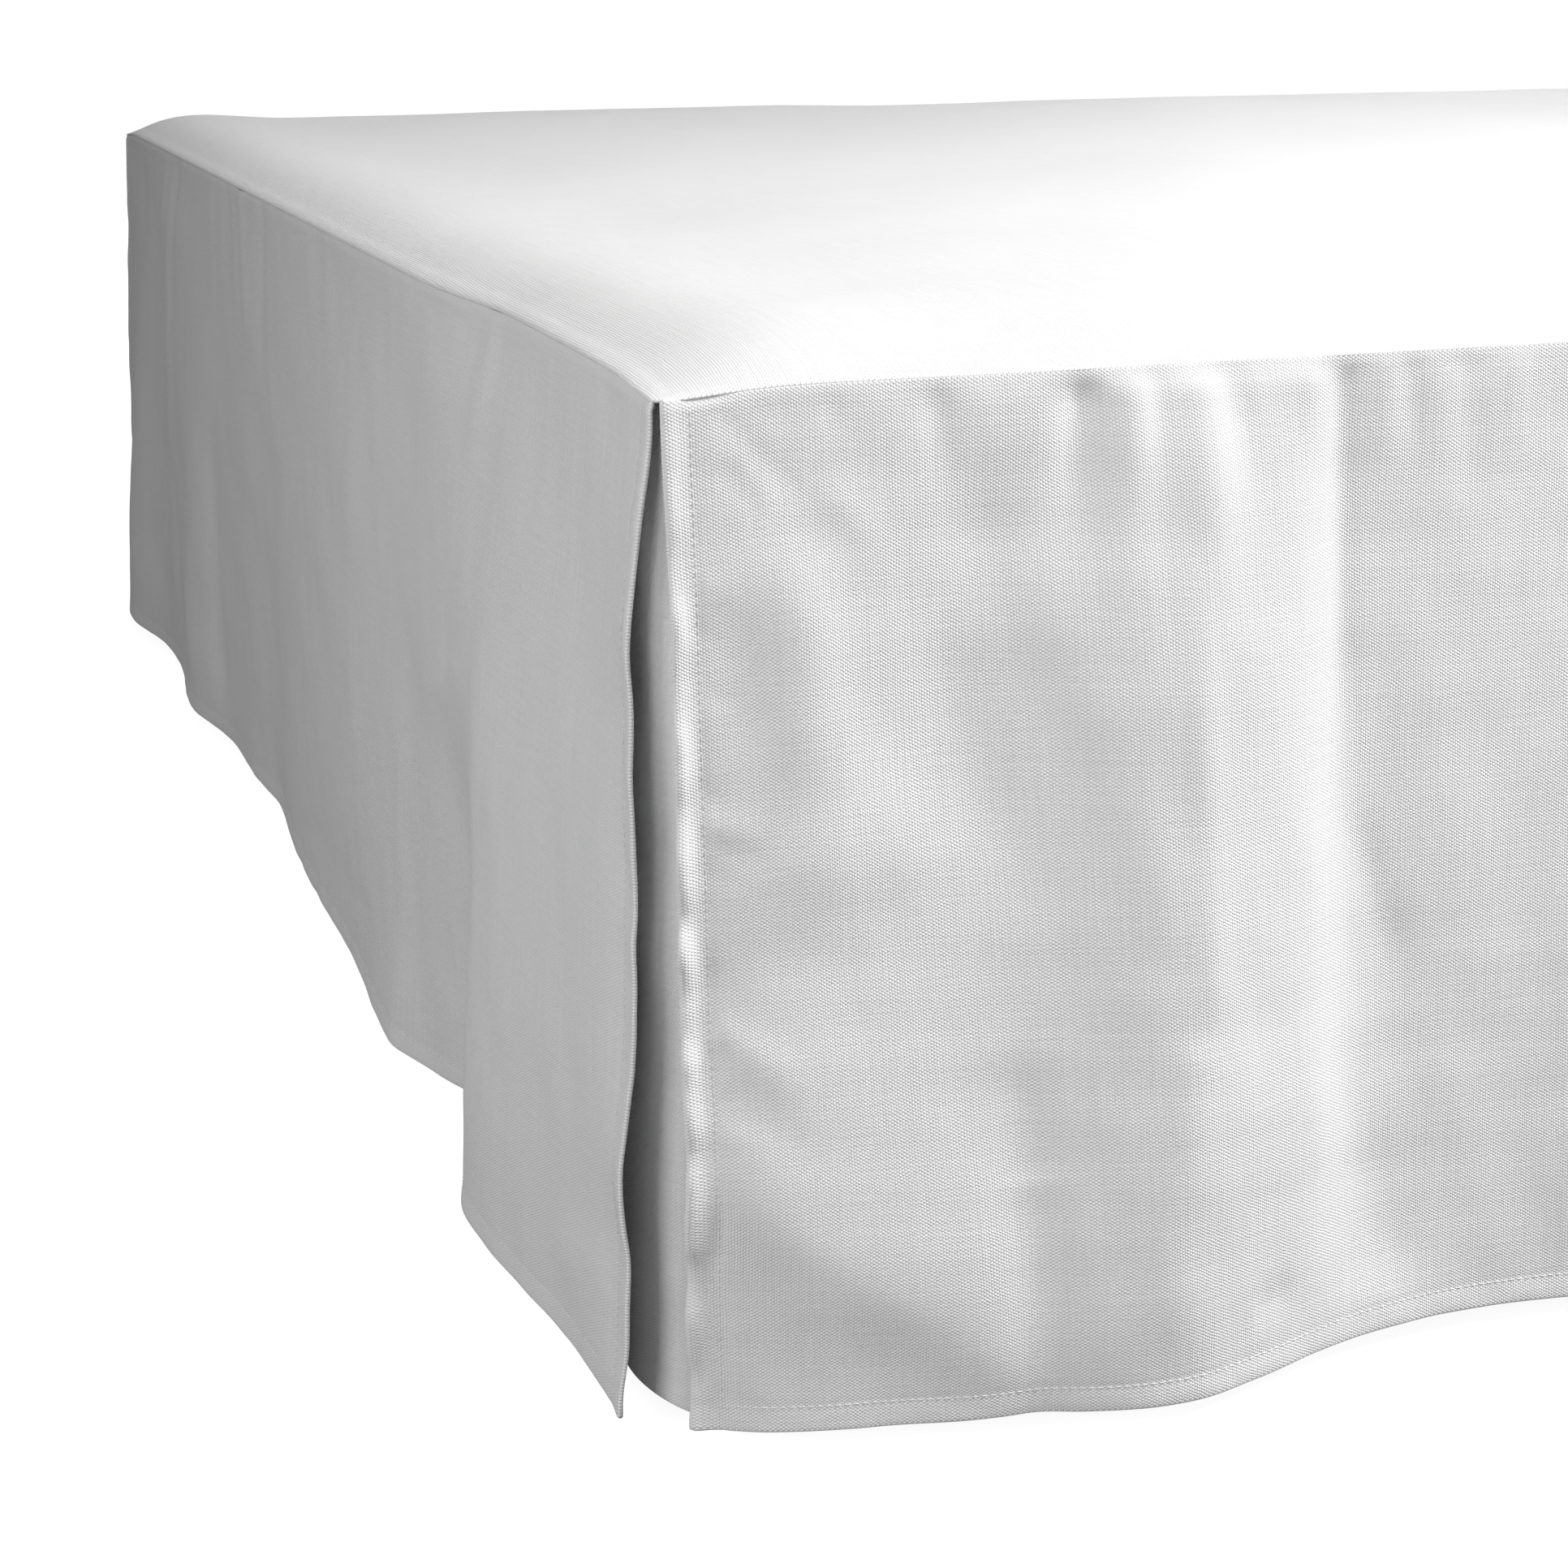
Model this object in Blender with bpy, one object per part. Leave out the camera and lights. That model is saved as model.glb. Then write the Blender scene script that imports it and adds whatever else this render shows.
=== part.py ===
"""Bed skirt with split corners, hanging from the deck cloth that covers a plain bed base.

+X points to the head of the bed, the foot panel faces -X, and the long side with the sharper
folds faces -Y.  Everything is worked out from the sizes below.  Each skirt panel is a height
field: a point lies u along its side and t of the way down, and the fold tables say how far
the cloth stands out from the bed's outline there.
"""
import bmesh
import bpy
import numpy as np

# ---- driving sizes, in metres ----
BED_LENGTH = 2.032
BED_WIDTH = 1.524
CORNER_RADIUS = 0.006      # of the deck's sewn corners, seen from above
DROP = 0.380               # seam to hem
FLOOR_GAP = 0.010          # hem to floor
CLOTH = 0.0016             # thickness of every cloth
SEAM_GAP = 0.0004          # between pieces that are sewn or laid together
EDGE_CLEARANCE = 0.0020    # between the cloth and the base's edges

SPLIT_SIDE = 0.0045        # where a side panel starts, along its side from the foot corner
SPLIT_FOOT = 0.0030        # where the foot panel starts, along its side from the same corner
SEAM_DIP = 0.003           # how far the seam sinks at a split corner
SEAM_DIP_REACH = 0.035
SEAM_SETBACK = 0.004       # of the foot's seam from the base's edge
SEAM_DRAW = 0.0083         # how much further it is drawn in at its farthest, near the near corner
SEAM_DRAW_AT = 0.220       # from the near side
SEAM_DRAW_REACHES = (0.250, 0.075)
DRAW_FADE = 0.100          # distance from the foot at which the deck is no longer drawn in
HANG_FADE = 0.50           # depth at which a panel no longer follows its drawn-in seam

DECK_CROWN = 0.0160        # the deck's rise above its seam
CROWN_REACH = 0.050
DECK_INSETS = (0.0, 0.006, 0.040, 0.100, 0.170)
LEVEL_FADE = 0.080         # inset at which the deck no longer follows its seam

FOUNDATION_INSET = 0.006   # of its walls from the bed's outline
FOUNDATION_SETBACK = 0.010  # how much further in its foot wall stands
FOUNDATION_CORNER = 0.040
FOUNDATION_HEIGHT = 0.234
FOUNDATION_EDGE = 0.010    # bevel of its lower edge
FOUNDATION_SHOULDER = 0.005     # inset of the top of its upper bevel from its walls
SHOULDER_DROPS = (0.014, 0.006)  # where that bevel starts and ends, below the lowest seam

LEG_INSET = 0.100          # of a leg's axis from the outline
LEG_FOOT_RADIUS = 0.019
LEG_TOP_RADIUS = 0.027
LEG_CHAMFER = 0.003
LEG_SIDES = 16

UNDERLAY_REACH = 0.115     # along each side from the corner
UNDERLAY_FLARE = 0.022     # of its hem, along the side
UNDERLAY_CORNER = 0.030    # radius of its corner at the hem
UNDERLAY_CURVE = 1.5       # power of the depth with which it takes its hem's shape
UNDERLAY_STEP = 0.020
UNDERLAY_TURNS = 5         # stretches round its corner
UNDERLAY_SHORTER = 0.002   # its hem is this much higher than the panels'

SEAM_Z = DROP + FLOOR_GAP

# ---- folds ----
# Each row: u of the crest at the seam, u of it at the hem, reach on its low-u side, reach on
# its high-u side, height (out is positive), and the depths t at which it starts, is full,
# begins to fade and has gone (past 1 means that it runs out at the hem).
NEAR_FLARE = 0.030
NEAR_FOLDS = (
    (0.205, 0.190, 0.060, 0.050, 0.008, -0.05, 0.12, 2.0, 3.0),
    (0.205, 0.188, 0.130, 0.085, 0.020, 0.00, 1.00, 2.0, 3.0),
    (0.262, 0.290, 0.022, 0.030, -0.004, -0.05, 0.12, 0.6, 1.0),
    (0.150, 0.020, 0.030, 0.030, -0.005, 0.02, 0.15, 0.40, 0.65),
    (0.138, 0.138, 0.018, 0.030, -0.003, 0.50, 0.85, 2.0, 3.0),
    (0.430, 0.440, 0.070, 0.090, 0.016, 0.00, 1.00, 2.0, 3.0),
    (0.640, 0.650, 0.100, 0.070, 0.020, 0.00, 1.00, 2.0, 3.0),
    (0.860, 0.850, 0.070, 0.110, 0.014, 0.05, 1.00, 2.0, 3.0),
    (1.120, 1.130, 0.090, 0.090, 0.022, 0.00, 1.00, 2.0, 3.0),
    (1.370, 1.350, 0.100, 0.070, 0.016, 0.05, 1.00, 2.0, 3.0),
    (1.580, 1.590, 0.080, 0.100, 0.020, 0.00, 1.00, 2.0, 3.0),
    (1.820, 1.810, 0.090, 0.080, 0.018, 0.05, 1.00, 2.0, 3.0),
)
FAR_FLARE = 0.030
FAR_FOLDS = (
    (0.190, 0.180, 0.100, 0.080, 0.010, 0.00, 1.00, 2.0, 3.0),
    (0.390, 0.400, 0.080, 0.100, 0.016, 0.00, 1.00, 2.0, 3.0),
    (0.620, 0.610, 0.090, 0.080, 0.020, 0.05, 1.00, 2.0, 3.0),
    (0.900, 0.910, 0.110, 0.080, 0.018, 0.00, 1.00, 2.0, 3.0),
    (1.150, 1.140, 0.080, 0.100, 0.022, 0.00, 1.00, 2.0, 3.0),
    (1.420, 1.430, 0.100, 0.090, 0.015, 0.05, 1.00, 2.0, 3.0),
    (1.700, 1.690, 0.090, 0.110, 0.021, 0.00, 1.00, 2.0, 3.0),
)
FOOT_FLARE = 0.010
FOOT_FOLDS = (
    (0.175, 0.185, 0.100, 0.045, 0.017, -0.10, 1.00, 2.0, 3.0),
    (0.262, 0.290, 0.045, 0.045, -0.020, 0.30, 1.00, 2.0, 3.0),
    (0.392, 0.392, 0.028, 0.100, 0.009, 0.10, 1.00, 2.0, 3.0),
    (0.620, 0.620, 0.120, 0.120, 0.003, 0.10, 1.00, 2.0, 3.0),
    (0.805, 0.805, 0.060, 0.050, -0.005, 0.10, 1.00, 2.0, 3.0),
    (1.065, 1.065, 0.070, 0.080, 0.015, 0.00, 1.00, 2.0, 3.0),
    (1.365, 1.365, 0.090, 0.100, 0.025, 0.00, 1.00, 2.0, 3.0),
)
# How the panels draw back at a split: (height at the hem, reach along the side).
NEAR_PULL = (-0.018, 0.022)
FAR_PULL = (-0.006, 0.022)
FOOT_EDGE_LEAN = (0.0045, 0.030)

# Where the columns of each panel stand: (from u, to u, step).
NEAR_COLUMNS = ((SPLIT_SIDE, 0.040, 0.0090), (0.040, 0.345, 0.0127),
                (0.345, BED_LENGTH - CORNER_RADIUS, 0.055))
FAR_COLUMNS = ((SPLIT_SIDE, 0.040, 0.0120), (0.040, 0.100, 0.020),
               (0.100, BED_LENGTH - CORNER_RADIUS, 0.055))
FOOT_COLUMNS = ((SPLIT_FOOT, CORNER_RADIUS, 0.0030), (CORNER_RADIUS, 0.040, 0.0090),
                (0.040, 0.420, 0.0146), (0.420, BED_WIDTH - 0.040, 0.042),
                (BED_WIDTH - 0.040, BED_WIDTH - CORNER_RADIUS, 0.0090),
                (BED_WIDTH - CORNER_RADIUS, BED_WIDTH - SPLIT_FOOT, 0.0030))
PANEL_DEPTHS = (0.0, 0.03, 0.08, 0.15, 0.25, 0.38, 0.52, 0.68, 0.84, 1.0)
UNDERLAY_DEPTHS = (0.0, 0.06, 0.2, 0.45, 0.75, 1.0)
HEAD_COLUMNS = 8
DECK_ARC_STEPS = 3
BASE_ARC_STEPS = 4

HALF = np.array([BED_LENGTH / 2, BED_WIDTH / 2])
SMOOTH_UNDER = np.radians(40.0)  # edges flatter than this are shaded smooth
TINY = 1e-9                # share of a side that rounding may take a point past its end

COLOURS = {
    "cloth": ((0.86, 0.86, 0.86, 1.0), 0.85),
    "ticking": ((0.62, 0.60, 0.57, 1.0), 0.90),
    "wood": ((0.20, 0.12, 0.07, 1.0), 0.50),
}


# ---- small helpers ----
def smooth(value):
    """Soft step from 0 to 1 over 0..1."""
    value = np.clip(value, 0.0, 1.0)
    return value * value * (3.0 - 2.0 * value)


def spaced(rows):
    """Values from a table of (from, to, step), each stretch evenly divided."""
    values = [rows[0][0]]
    for start, stop, step in rows:
        count = max(1, round((stop - start) / step))
        values.extend(start + (stop - start) * (k + 1) / count for k in range(count))
    return np.array(values)


def corner_arc(u):
    """How far the rounded corner draws the outline back at u from the corner."""
    left = np.clip(CORNER_RADIUS - u, 0.0, None)
    return CORNER_RADIUS - np.sqrt(CORNER_RADIUS ** 2 - left ** 2)


def foot_draw(from_near):
    """How far the foot's seam lies in from the base's edge."""
    reach = np.where(from_near < SEAM_DRAW_AT, *SEAM_DRAW_REACHES)
    return SEAM_SETBACK + SEAM_DRAW * np.exp(-((from_near - SEAM_DRAW_AT) / reach) ** 2)


def drawn_along(from_foot, from_near):
    """How far a point of the deck or of a side's top is carried towards the head with that seam."""
    return foot_draw(from_near) * (1.0 - smooth(from_foot / DRAW_FADE))


def seam_level(from_foot, from_near):
    """How far the seam lies over its usual height, at distances from the foot and near sides."""
    from_corner = np.maximum(from_foot, np.minimum(from_near, BED_WIDTH - from_near))
    return -SEAM_DIP * np.exp(-(from_corner / SEAM_DIP_REACH) ** 2)


def fold_height(u, t, folds):
    """Sum of soft crests: a bell across each fold, times how far it has grown at depth t."""
    total = np.zeros(np.broadcast(u, t).shape)
    for top, hem, low, high, height, start, full, fade, gone in folds:
        crest = top + (hem - top) * t
        reach = np.where(u < crest, low, high)
        grown = smooth((t - start) / (full - start)) * (1.0 - smooth((t - fade) / (gone - fade)))
        total += height * grown * np.exp(-((u - crest) / reach) ** 2)
    return total


# ---- panels, each as (along the side, out from the outline, up) ----
def cloth_height(level, t, hem=FLOOR_GAP):
    """Height of a point: just under the seam at the top, a level hem at the bottom."""
    top = SEAM_Z - CLOTH / 2 - SEAM_GAP + level
    return top + (hem - top) * t


def side_panel(u, t, from_near, flare, pull, folds):
    """A long side's middle surface; from_near tells where its top edge lies across the bed."""
    held = corner_arc(u) * (1.0 - smooth(t / HANG_FADE))
    drawn = pull[0] * t * np.exp(-(u - SPLIT_SIDE) / pull[1])
    out = flare * t + drawn + fold_height(u, t, folds) - held - CLOTH / 2
    along = u + drawn_along(u, from_near)
    return along + 0.0 * t, out, cloth_height(seam_level(u, from_near), t)


def foot_panel(u, t):
    """The foot's middle surface, with a split at both ends."""
    from_end = np.minimum(u, BED_WIDTH - u)
    toward_end = np.where(u < BED_WIDTH / 2, -1.0, 1.0)
    held = (corner_arc(from_end) + foot_draw(u)) * (1.0 - smooth(t / HANG_FADE))
    lean = FOOT_EDGE_LEAN[0] * t * np.exp(-(from_end - SPLIT_FOOT) / FOOT_EDGE_LEAN[1])
    out = FOOT_FLARE * t + fold_height(u, t, FOOT_FOLDS) - held - CLOTH / 2
    return u + toward_end * lean, out, cloth_height(seam_level(corner_arc(from_end), u), t)


# ---- where a side's own coordinates lie on the bed ----
def place_near(along, out, up):
    return np.stack([along - HALF[0], -HALF[1] - out, up], axis=-1)


def place_far(along, out, up):
    return np.stack([along - HALF[0], HALF[1] + out, up], axis=-1)


def place_foot(along, out, up):
    return np.stack([-HALF[0] - out, along - HALF[1], up], axis=-1)


# ---- meshes ----
def material(name):
    colour, roughness = COLOURS[name]
    made = bpy.data.materials.new(name)
    made.use_nodes = True
    shader = made.node_tree.nodes["Principled BSDF"]
    shader.inputs["Base Color"].default_value = colour
    shader.inputs["Roughness"].default_value = roughness
    shader.inputs["Metallic"].default_value = 0.0
    return made


def add_object(name, points, faces, finish, parent):
    """A closed mesh with its faces turned outwards, shaded smooth."""
    mesh = bpy.data.meshes.new(name)
    mesh.from_pydata([tuple(point) for point in points], [], faces)
    shape = bmesh.new()
    shape.from_mesh(mesh)
    bmesh.ops.recalc_face_normals(shape, faces=shape.faces)
    shape.to_mesh(mesh)
    shape.free()
    mesh.materials.append(finish)
    mesh.shade_smooth()
    mesh.set_sharp_from_angle(angle=SMOOTH_UNDER)
    made = bpy.data.objects.new(name, mesh)
    bpy.context.scene.collection.objects.link(made)
    made.parent = parent
    return made


def sheet(name, middle, finish, parent):
    """A cloth of even thickness about a grid of points, thickened level, and closed at its rim."""
    along = np.gradient(middle, axis=1)[..., :2]
    across = np.stack([along[..., 1], -along[..., 0], 0.0 * along[..., 0]], axis=-1)
    across /= np.linalg.norm(across, axis=-1, keepdims=True)
    rows, columns = middle.shape[:2]
    points = np.concatenate([(middle + across * CLOTH / 2).reshape(-1, 3),
                             (middle - across * CLOTH / 2).reshape(-1, 3)])
    grid = np.arange(rows * columns).reshape(rows, columns)
    back = grid + rows * columns
    faces = []
    for i in range(rows - 1):
        for j in range(columns - 1):
            for side in (grid, back):
                faces.append((side[i, j], side[i, j + 1], side[i + 1, j + 1], side[i + 1, j]))
    rim = ([(0, j) for j in range(columns)]
           + [(i, columns - 1) for i in range(1, rows)]
           + [(rows - 1, j) for j in range(columns - 2, -1, -1)]
           + [(i, 0) for i in range(rows - 2, 0, -1)])
    for here, there in zip(rim, rim[1:] + rim[:1]):
        faces.append((grid[here], grid[there], back[there], back[here]))
    return add_object(name, points, faces, finish, parent)


def ring_stack(name, rings, finish, parent):
    """A solid through a row of closed rings with the same number of points, capped at both ends."""
    rings = np.array(rings)
    layers, count = rings.shape[:2]
    index = np.arange(layers * count).reshape(layers, count)
    faces = [tuple(index[0]), tuple(index[-1])]
    for lower, upper in zip(index[:-1], index[1:]):
        for k in range(count):
            nxt = (k + 1) % count
            faces.append((lower[k], lower[nxt], upper[nxt], upper[k]))
    return add_object(name, rings.reshape(-1, 3), faces, finish, parent)


# ---- outlines, from above, counterclockwise ----
SIDES = {"near": ((-1, -1), (1, -1)), "head": ((1, -1), (1, 1)),
         "far": ((1, 1), (-1, 1)), "foot": ((-1, 1), (-1, -1))}
FACING = {"near": (0, -1), "head": (1, 0), "far": (0, 1), "foot": (-1, 0)}
CORNERS = {"near_foot": ((-1, -1), 180.0), "near_head": ((1, -1), 270.0),
           "far_head": ((1, 1), 0.0), "far_foot": ((-1, 1), 90.0)}


def straight(u, length):
    """Share of a side's straight stretch that lies before u."""
    return (u - CORNER_RADIUS) / (length - 2 * CORNER_RADIUS)


def side_rows(place, columns, length, back=False):
    """A side's (place, share) rows at the panel's own columns, or the other way round."""
    shares = straight(np.asarray(columns), length)
    shares = shares[(shares > -TINY) & (shares < 1.0 + TINY)]
    return [(place, share) for share in (1.0 - shares[::-1] if back else shares)]


def turn_rows(place, steps):
    """A corner's (place, angle) rows, without its ends."""
    return [(place, angle) for angle in np.linspace(0.0, np.pi / 2, steps + 1)[1:-1]]


def bed_stations():
    """The deck's outline as (place, share or angle) rows, at the panels' own columns."""
    near, far, foot = (spaced(rows) for rows in (NEAR_COLUMNS, FAR_COLUMNS, FOOT_COLUMNS))
    from_corner = np.array([CORNER_RADIUS])
    return (side_rows("near", np.concatenate([from_corner, near]), BED_LENGTH)
            + turn_rows("near_head", DECK_ARC_STEPS)
            + [("head", k / HEAD_COLUMNS) for k in range(HEAD_COLUMNS + 1)]
            + turn_rows("far_head", DECK_ARC_STEPS)
            + side_rows("far", np.concatenate([from_corner, far]), BED_LENGTH, back=True)
            + turn_rows("far_foot", DECK_ARC_STEPS)
            + side_rows("foot", foot, BED_WIDTH, back=True)
            + turn_rows("near_foot", DECK_ARC_STEPS))


def plain_stations():
    """The outline with only its corners rounded."""
    turn = np.linspace(0.0, np.pi / 2, BASE_ARC_STEPS + 1)
    return [(corner, angle) for corner in ("near_foot", "near_head", "far_head", "far_foot")
            for angle in turn]


def underlay_stations(across):
    """The outline round one foot corner, as far as its underlay reaches along both sides."""
    reach = spaced(((CORNER_RADIUS, UNDERLAY_REACH, UNDERLAY_STEP),))
    if across < 0:
        return (side_rows("foot", reach, BED_WIDTH, back=True) + turn_rows("near_foot", UNDERLAY_TURNS)
                + side_rows("near", reach, BED_LENGTH))
    return (side_rows("far", reach, BED_LENGTH, back=True) + turn_rows("far_foot", UNDERLAY_TURNS)
            + side_rows("foot", reach, BED_WIDTH))


def facing(place, value):
    """The outline's outward direction at a row."""
    if place not in CORNERS:
        return np.array(FACING[place])
    angle = np.radians(CORNERS[place][1]) + value
    return np.array([np.cos(angle), np.sin(angle)])


def outline(stations, inset, corner=CORNER_RADIUS):
    """The outline's points, drawn in by inset, with corners of the given radius or what is left."""
    radius = max(corner - inset, CORNER_RADIUS)
    centre = HALF - inset - radius
    points = []
    for place, value in stations:
        if place in CORNERS:
            start = np.array(CORNERS[place][0]) * centre
        else:
            first, last = (np.array(sign) * centre for sign in SIDES[place])
            start = first + (last - first) * value
        points.append(start + radius * facing(place, value))
    return np.array(points)


def drawn_in(plan):
    """The outline's points, carried along with the foot's drawn-in seam."""
    from_foot, from_near = (plan + HALF).T
    return plan + np.column_stack([drawn_along(from_foot, from_near), 0.0 * from_foot])


def crown(inset):
    """The deck's rise above its seam: level over the seam, then a soft swell."""
    swell = np.clip(inset - DECK_INSETS[1], 0.0, None)
    return DECK_CROWN * (1.0 - np.exp(-swell / CROWN_REACH))


# ---- pieces ----
def build_deck(finish, parent):
    """The deck cloth: up one face and down the other, ring by ring."""
    stations = bed_stations()
    level = seam_level(*(outline(stations, 0.0) + HALF).T)

    def ring(inset, side):
        up = SEAM_Z + crown(inset) + level * (1.0 - smooth(inset / LEVEL_FADE)) + side * CLOTH / 2
        return np.column_stack([drawn_in(outline(stations, inset)), up])

    rings = [ring(inset, -1) for inset in DECK_INSETS[::-1]] + [ring(inset, 1) for inset in DECK_INSETS]
    return ring_stack("deck", rings, finish, parent)


def build_panels(finish, parent):
    depth = np.array(PANEL_DEPTHS)[:, None]
    u_near, u_far = spaced(NEAR_COLUMNS)[None, :], spaced(FAR_COLUMNS)[None, :]
    near = side_panel(u_near, depth, corner_arc(u_near), NEAR_FLARE, NEAR_PULL, NEAR_FOLDS)
    far = side_panel(u_far, depth, BED_WIDTH - corner_arc(u_far), FAR_FLARE, FAR_PULL, FAR_FOLDS)
    foot = foot_panel(spaced(FOOT_COLUMNS)[None, :], depth)
    return [sheet("side_panel_near", place_near(*near), finish, parent),
            sheet("side_panel_far", place_far(*far), finish, parent),
            sheet("foot_panel", place_foot(*foot), finish, parent)]


def build_underlay(name, across, finish, parent):
    """The strip behind a split corner, inside both panels, which flares out along the side.

    across is -1 at the near corner and 1 at the far one.
    """
    stations = underlay_stations(across)
    inset = CLOTH / 2 + SEAM_GAP + CLOTH
    top = drawn_in(outline(stations, inset))
    flare = np.array([facing(*row) for row in stations]) * np.array([0.0, UNDERLAY_FLARE])
    hem = outline(stations, inset, UNDERLAY_CORNER + inset) + flare
    t = np.array(UNDERLAY_DEPTHS)[:, None]
    plan = top[None] + (hem - top)[None] * t[..., None] ** UNDERLAY_CURVE
    level = seam_level(*(outline(stations, 0.0) + HALF).T) - SEAM_GAP
    up = cloth_height(level, t, FLOOR_GAP + UNDERLAY_SHORTER)
    return sheet(name, np.concatenate([plan, up[..., None]], axis=-1), finish, parent)


def build_foundation(finish, parent):
    """The box under the deck: upright walls and a top that keeps clear below the cloth."""
    stations = plain_stations()
    resting = DECK_INSETS[-1]
    top = SEAM_Z + crown(resting) - CLOTH / 2 - SEAM_GAP
    bottom = top - FOUNDATION_HEIGHT
    lowest_seam = SEAM_Z - SEAM_DIP
    profile = [(FOUNDATION_INSET + FOUNDATION_EDGE, bottom),
               (FOUNDATION_INSET, bottom + FOUNDATION_EDGE),
               (FOUNDATION_INSET, lowest_seam - SHOULDER_DROPS[0]),
               (FOUNDATION_INSET + FOUNDATION_SHOULDER, lowest_seam - SHOULDER_DROPS[1])]
    for inset in DECK_INSETS[2:-1]:
        sunk = SEAM_DIP * (1.0 - smooth(inset / LEVEL_FADE))
        profile.append((inset, SEAM_Z + crown(inset) - sunk - CLOTH / 2 - EDGE_CLEARANCE))
    profile.append((resting, top))
    rings = []
    for inset, level in profile:
        plan = outline(stations, inset, FOUNDATION_CORNER)
        plan[:, 0] += FOUNDATION_SETBACK * (HALF[0] - plan[:, 0]) / BED_LENGTH
        rings.append(np.column_stack([plan, np.full(len(stations), level)]))
    return ring_stack("foundation", rings, finish, parent), bottom


def build_legs(height, finish, parent):
    """Six tapered legs: one near each corner and one halfway along each long side."""
    length = height - SEAM_GAP
    turn = np.linspace(0.0, 2 * np.pi, LEG_SIDES, endpoint=False)
    circle = np.column_stack([np.cos(turn), np.sin(turn)])
    profile = [(LEG_FOOT_RADIUS - LEG_CHAMFER, 0.0), (LEG_FOOT_RADIUS, LEG_CHAMFER),
               (LEG_TOP_RADIUS, length)]
    rings = [np.column_stack([circle * radius, np.full(LEG_SIDES, level)]) for radius, level in profile]
    legs = []
    for place, x in (("foot", LEG_INSET - HALF[0]), ("middle", 0.0), ("head", HALF[0] - LEG_INSET)):
        for side, y in (("near", LEG_INSET - HALF[1]), ("far", HALF[1] - LEG_INSET)):
            leg = ring_stack("leg_%s_%s" % (place, side), rings, finish, parent)
            leg.location = (x, y, 0.0)
            legs.append(leg)
    return legs


def centre_on_origin(parts, holder):
    """Shift the whole so that its box stands centred on the origin, on the floor."""
    corners = np.array([np.array(vertex.co) + np.array(part.location)
                        for part in parts for vertex in part.data.vertices])
    middle = (corners.min(axis=0) + corners.max(axis=0)) / 2
    holder.location = (-middle[0], -middle[1], 0.0)


def main():
    for old in list(bpy.data.objects):
        bpy.data.objects.remove(old, do_unlink=True)
    holder = bpy.data.objects.new("bed_skirt_on_base", None)
    bpy.context.scene.collection.objects.link(holder)
    cloth, ticking, wood = (material(name) for name in ("cloth", "ticking", "wood"))
    parts = [build_deck(cloth, holder)]
    parts += build_panels(cloth, holder)
    parts.append(build_underlay("underlay_near", -1, cloth, holder))
    parts.append(build_underlay("underlay_far", 1, cloth, holder))
    foundation, underside = build_foundation(ticking, holder)
    parts.append(foundation)
    parts += build_legs(underside, wood, holder)
    centre_on_origin(parts, holder)
    bpy.context.view_layer.update()


main()
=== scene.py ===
"""Bed skirt with split corners over its bed base: the looks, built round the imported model.

Metres, +Z up, +X towards the head of the bed; the foot panel faces -X and the photographed long
side faces -Y.  A place on a hanging panel is (u, s): u runs along its side from the foot corner,
or on the foot panel from the near corner, and s is the depth below the seam.  A place on the deck
is its distance from the foot edge and from the near edge.
"""

import math

import bpy
import numpy as np
from mathutils import Matrix, Vector


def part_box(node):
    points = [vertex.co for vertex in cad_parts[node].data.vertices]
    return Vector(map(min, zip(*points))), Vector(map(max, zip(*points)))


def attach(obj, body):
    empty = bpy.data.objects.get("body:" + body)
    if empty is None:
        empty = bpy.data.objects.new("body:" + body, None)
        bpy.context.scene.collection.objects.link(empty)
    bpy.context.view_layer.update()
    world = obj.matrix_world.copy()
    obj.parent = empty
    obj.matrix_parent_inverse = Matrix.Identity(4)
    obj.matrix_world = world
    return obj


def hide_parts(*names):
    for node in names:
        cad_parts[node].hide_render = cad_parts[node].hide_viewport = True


bl_info = {
    "name": "Bed Skirt",
    "version": (1, 0, 0),
    "blender": (4, 5, 0),
    "location": "3D View > Sidebar > Bed Skirt",
    "description": "Cloth, hems, stitching, base finishes and studio of a bed skirt with split corners",
    "category": "Object",
}

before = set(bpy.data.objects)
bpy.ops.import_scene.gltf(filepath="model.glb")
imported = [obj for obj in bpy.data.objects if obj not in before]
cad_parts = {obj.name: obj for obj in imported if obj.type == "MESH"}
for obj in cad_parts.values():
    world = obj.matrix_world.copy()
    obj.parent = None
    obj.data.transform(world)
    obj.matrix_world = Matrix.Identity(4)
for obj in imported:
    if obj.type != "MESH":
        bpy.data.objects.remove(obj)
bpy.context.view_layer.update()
BODY = "root"

# ---- the bed's outline and the skirt's levels, from the frame ----
SEAM_SETBACK = 0.004       # of the foot's seam from the base's edge
DECK_LOW, DECK_HIGH = (np.array(corner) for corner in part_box("deck"))
HALF = (DECK_HIGH[:2] - DECK_LOW[:2] + np.array([SEAM_SETBACK, 0.0])) / 2
CENTRE = DECK_HIGH[:2] - HALF
BED_LENGTH, BED_WIDTH = 2 * HALF
HEM_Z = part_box("side_panel_near")[0].z
DROP = 0.380
SEAM_Z = HEM_Z + DROP

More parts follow.
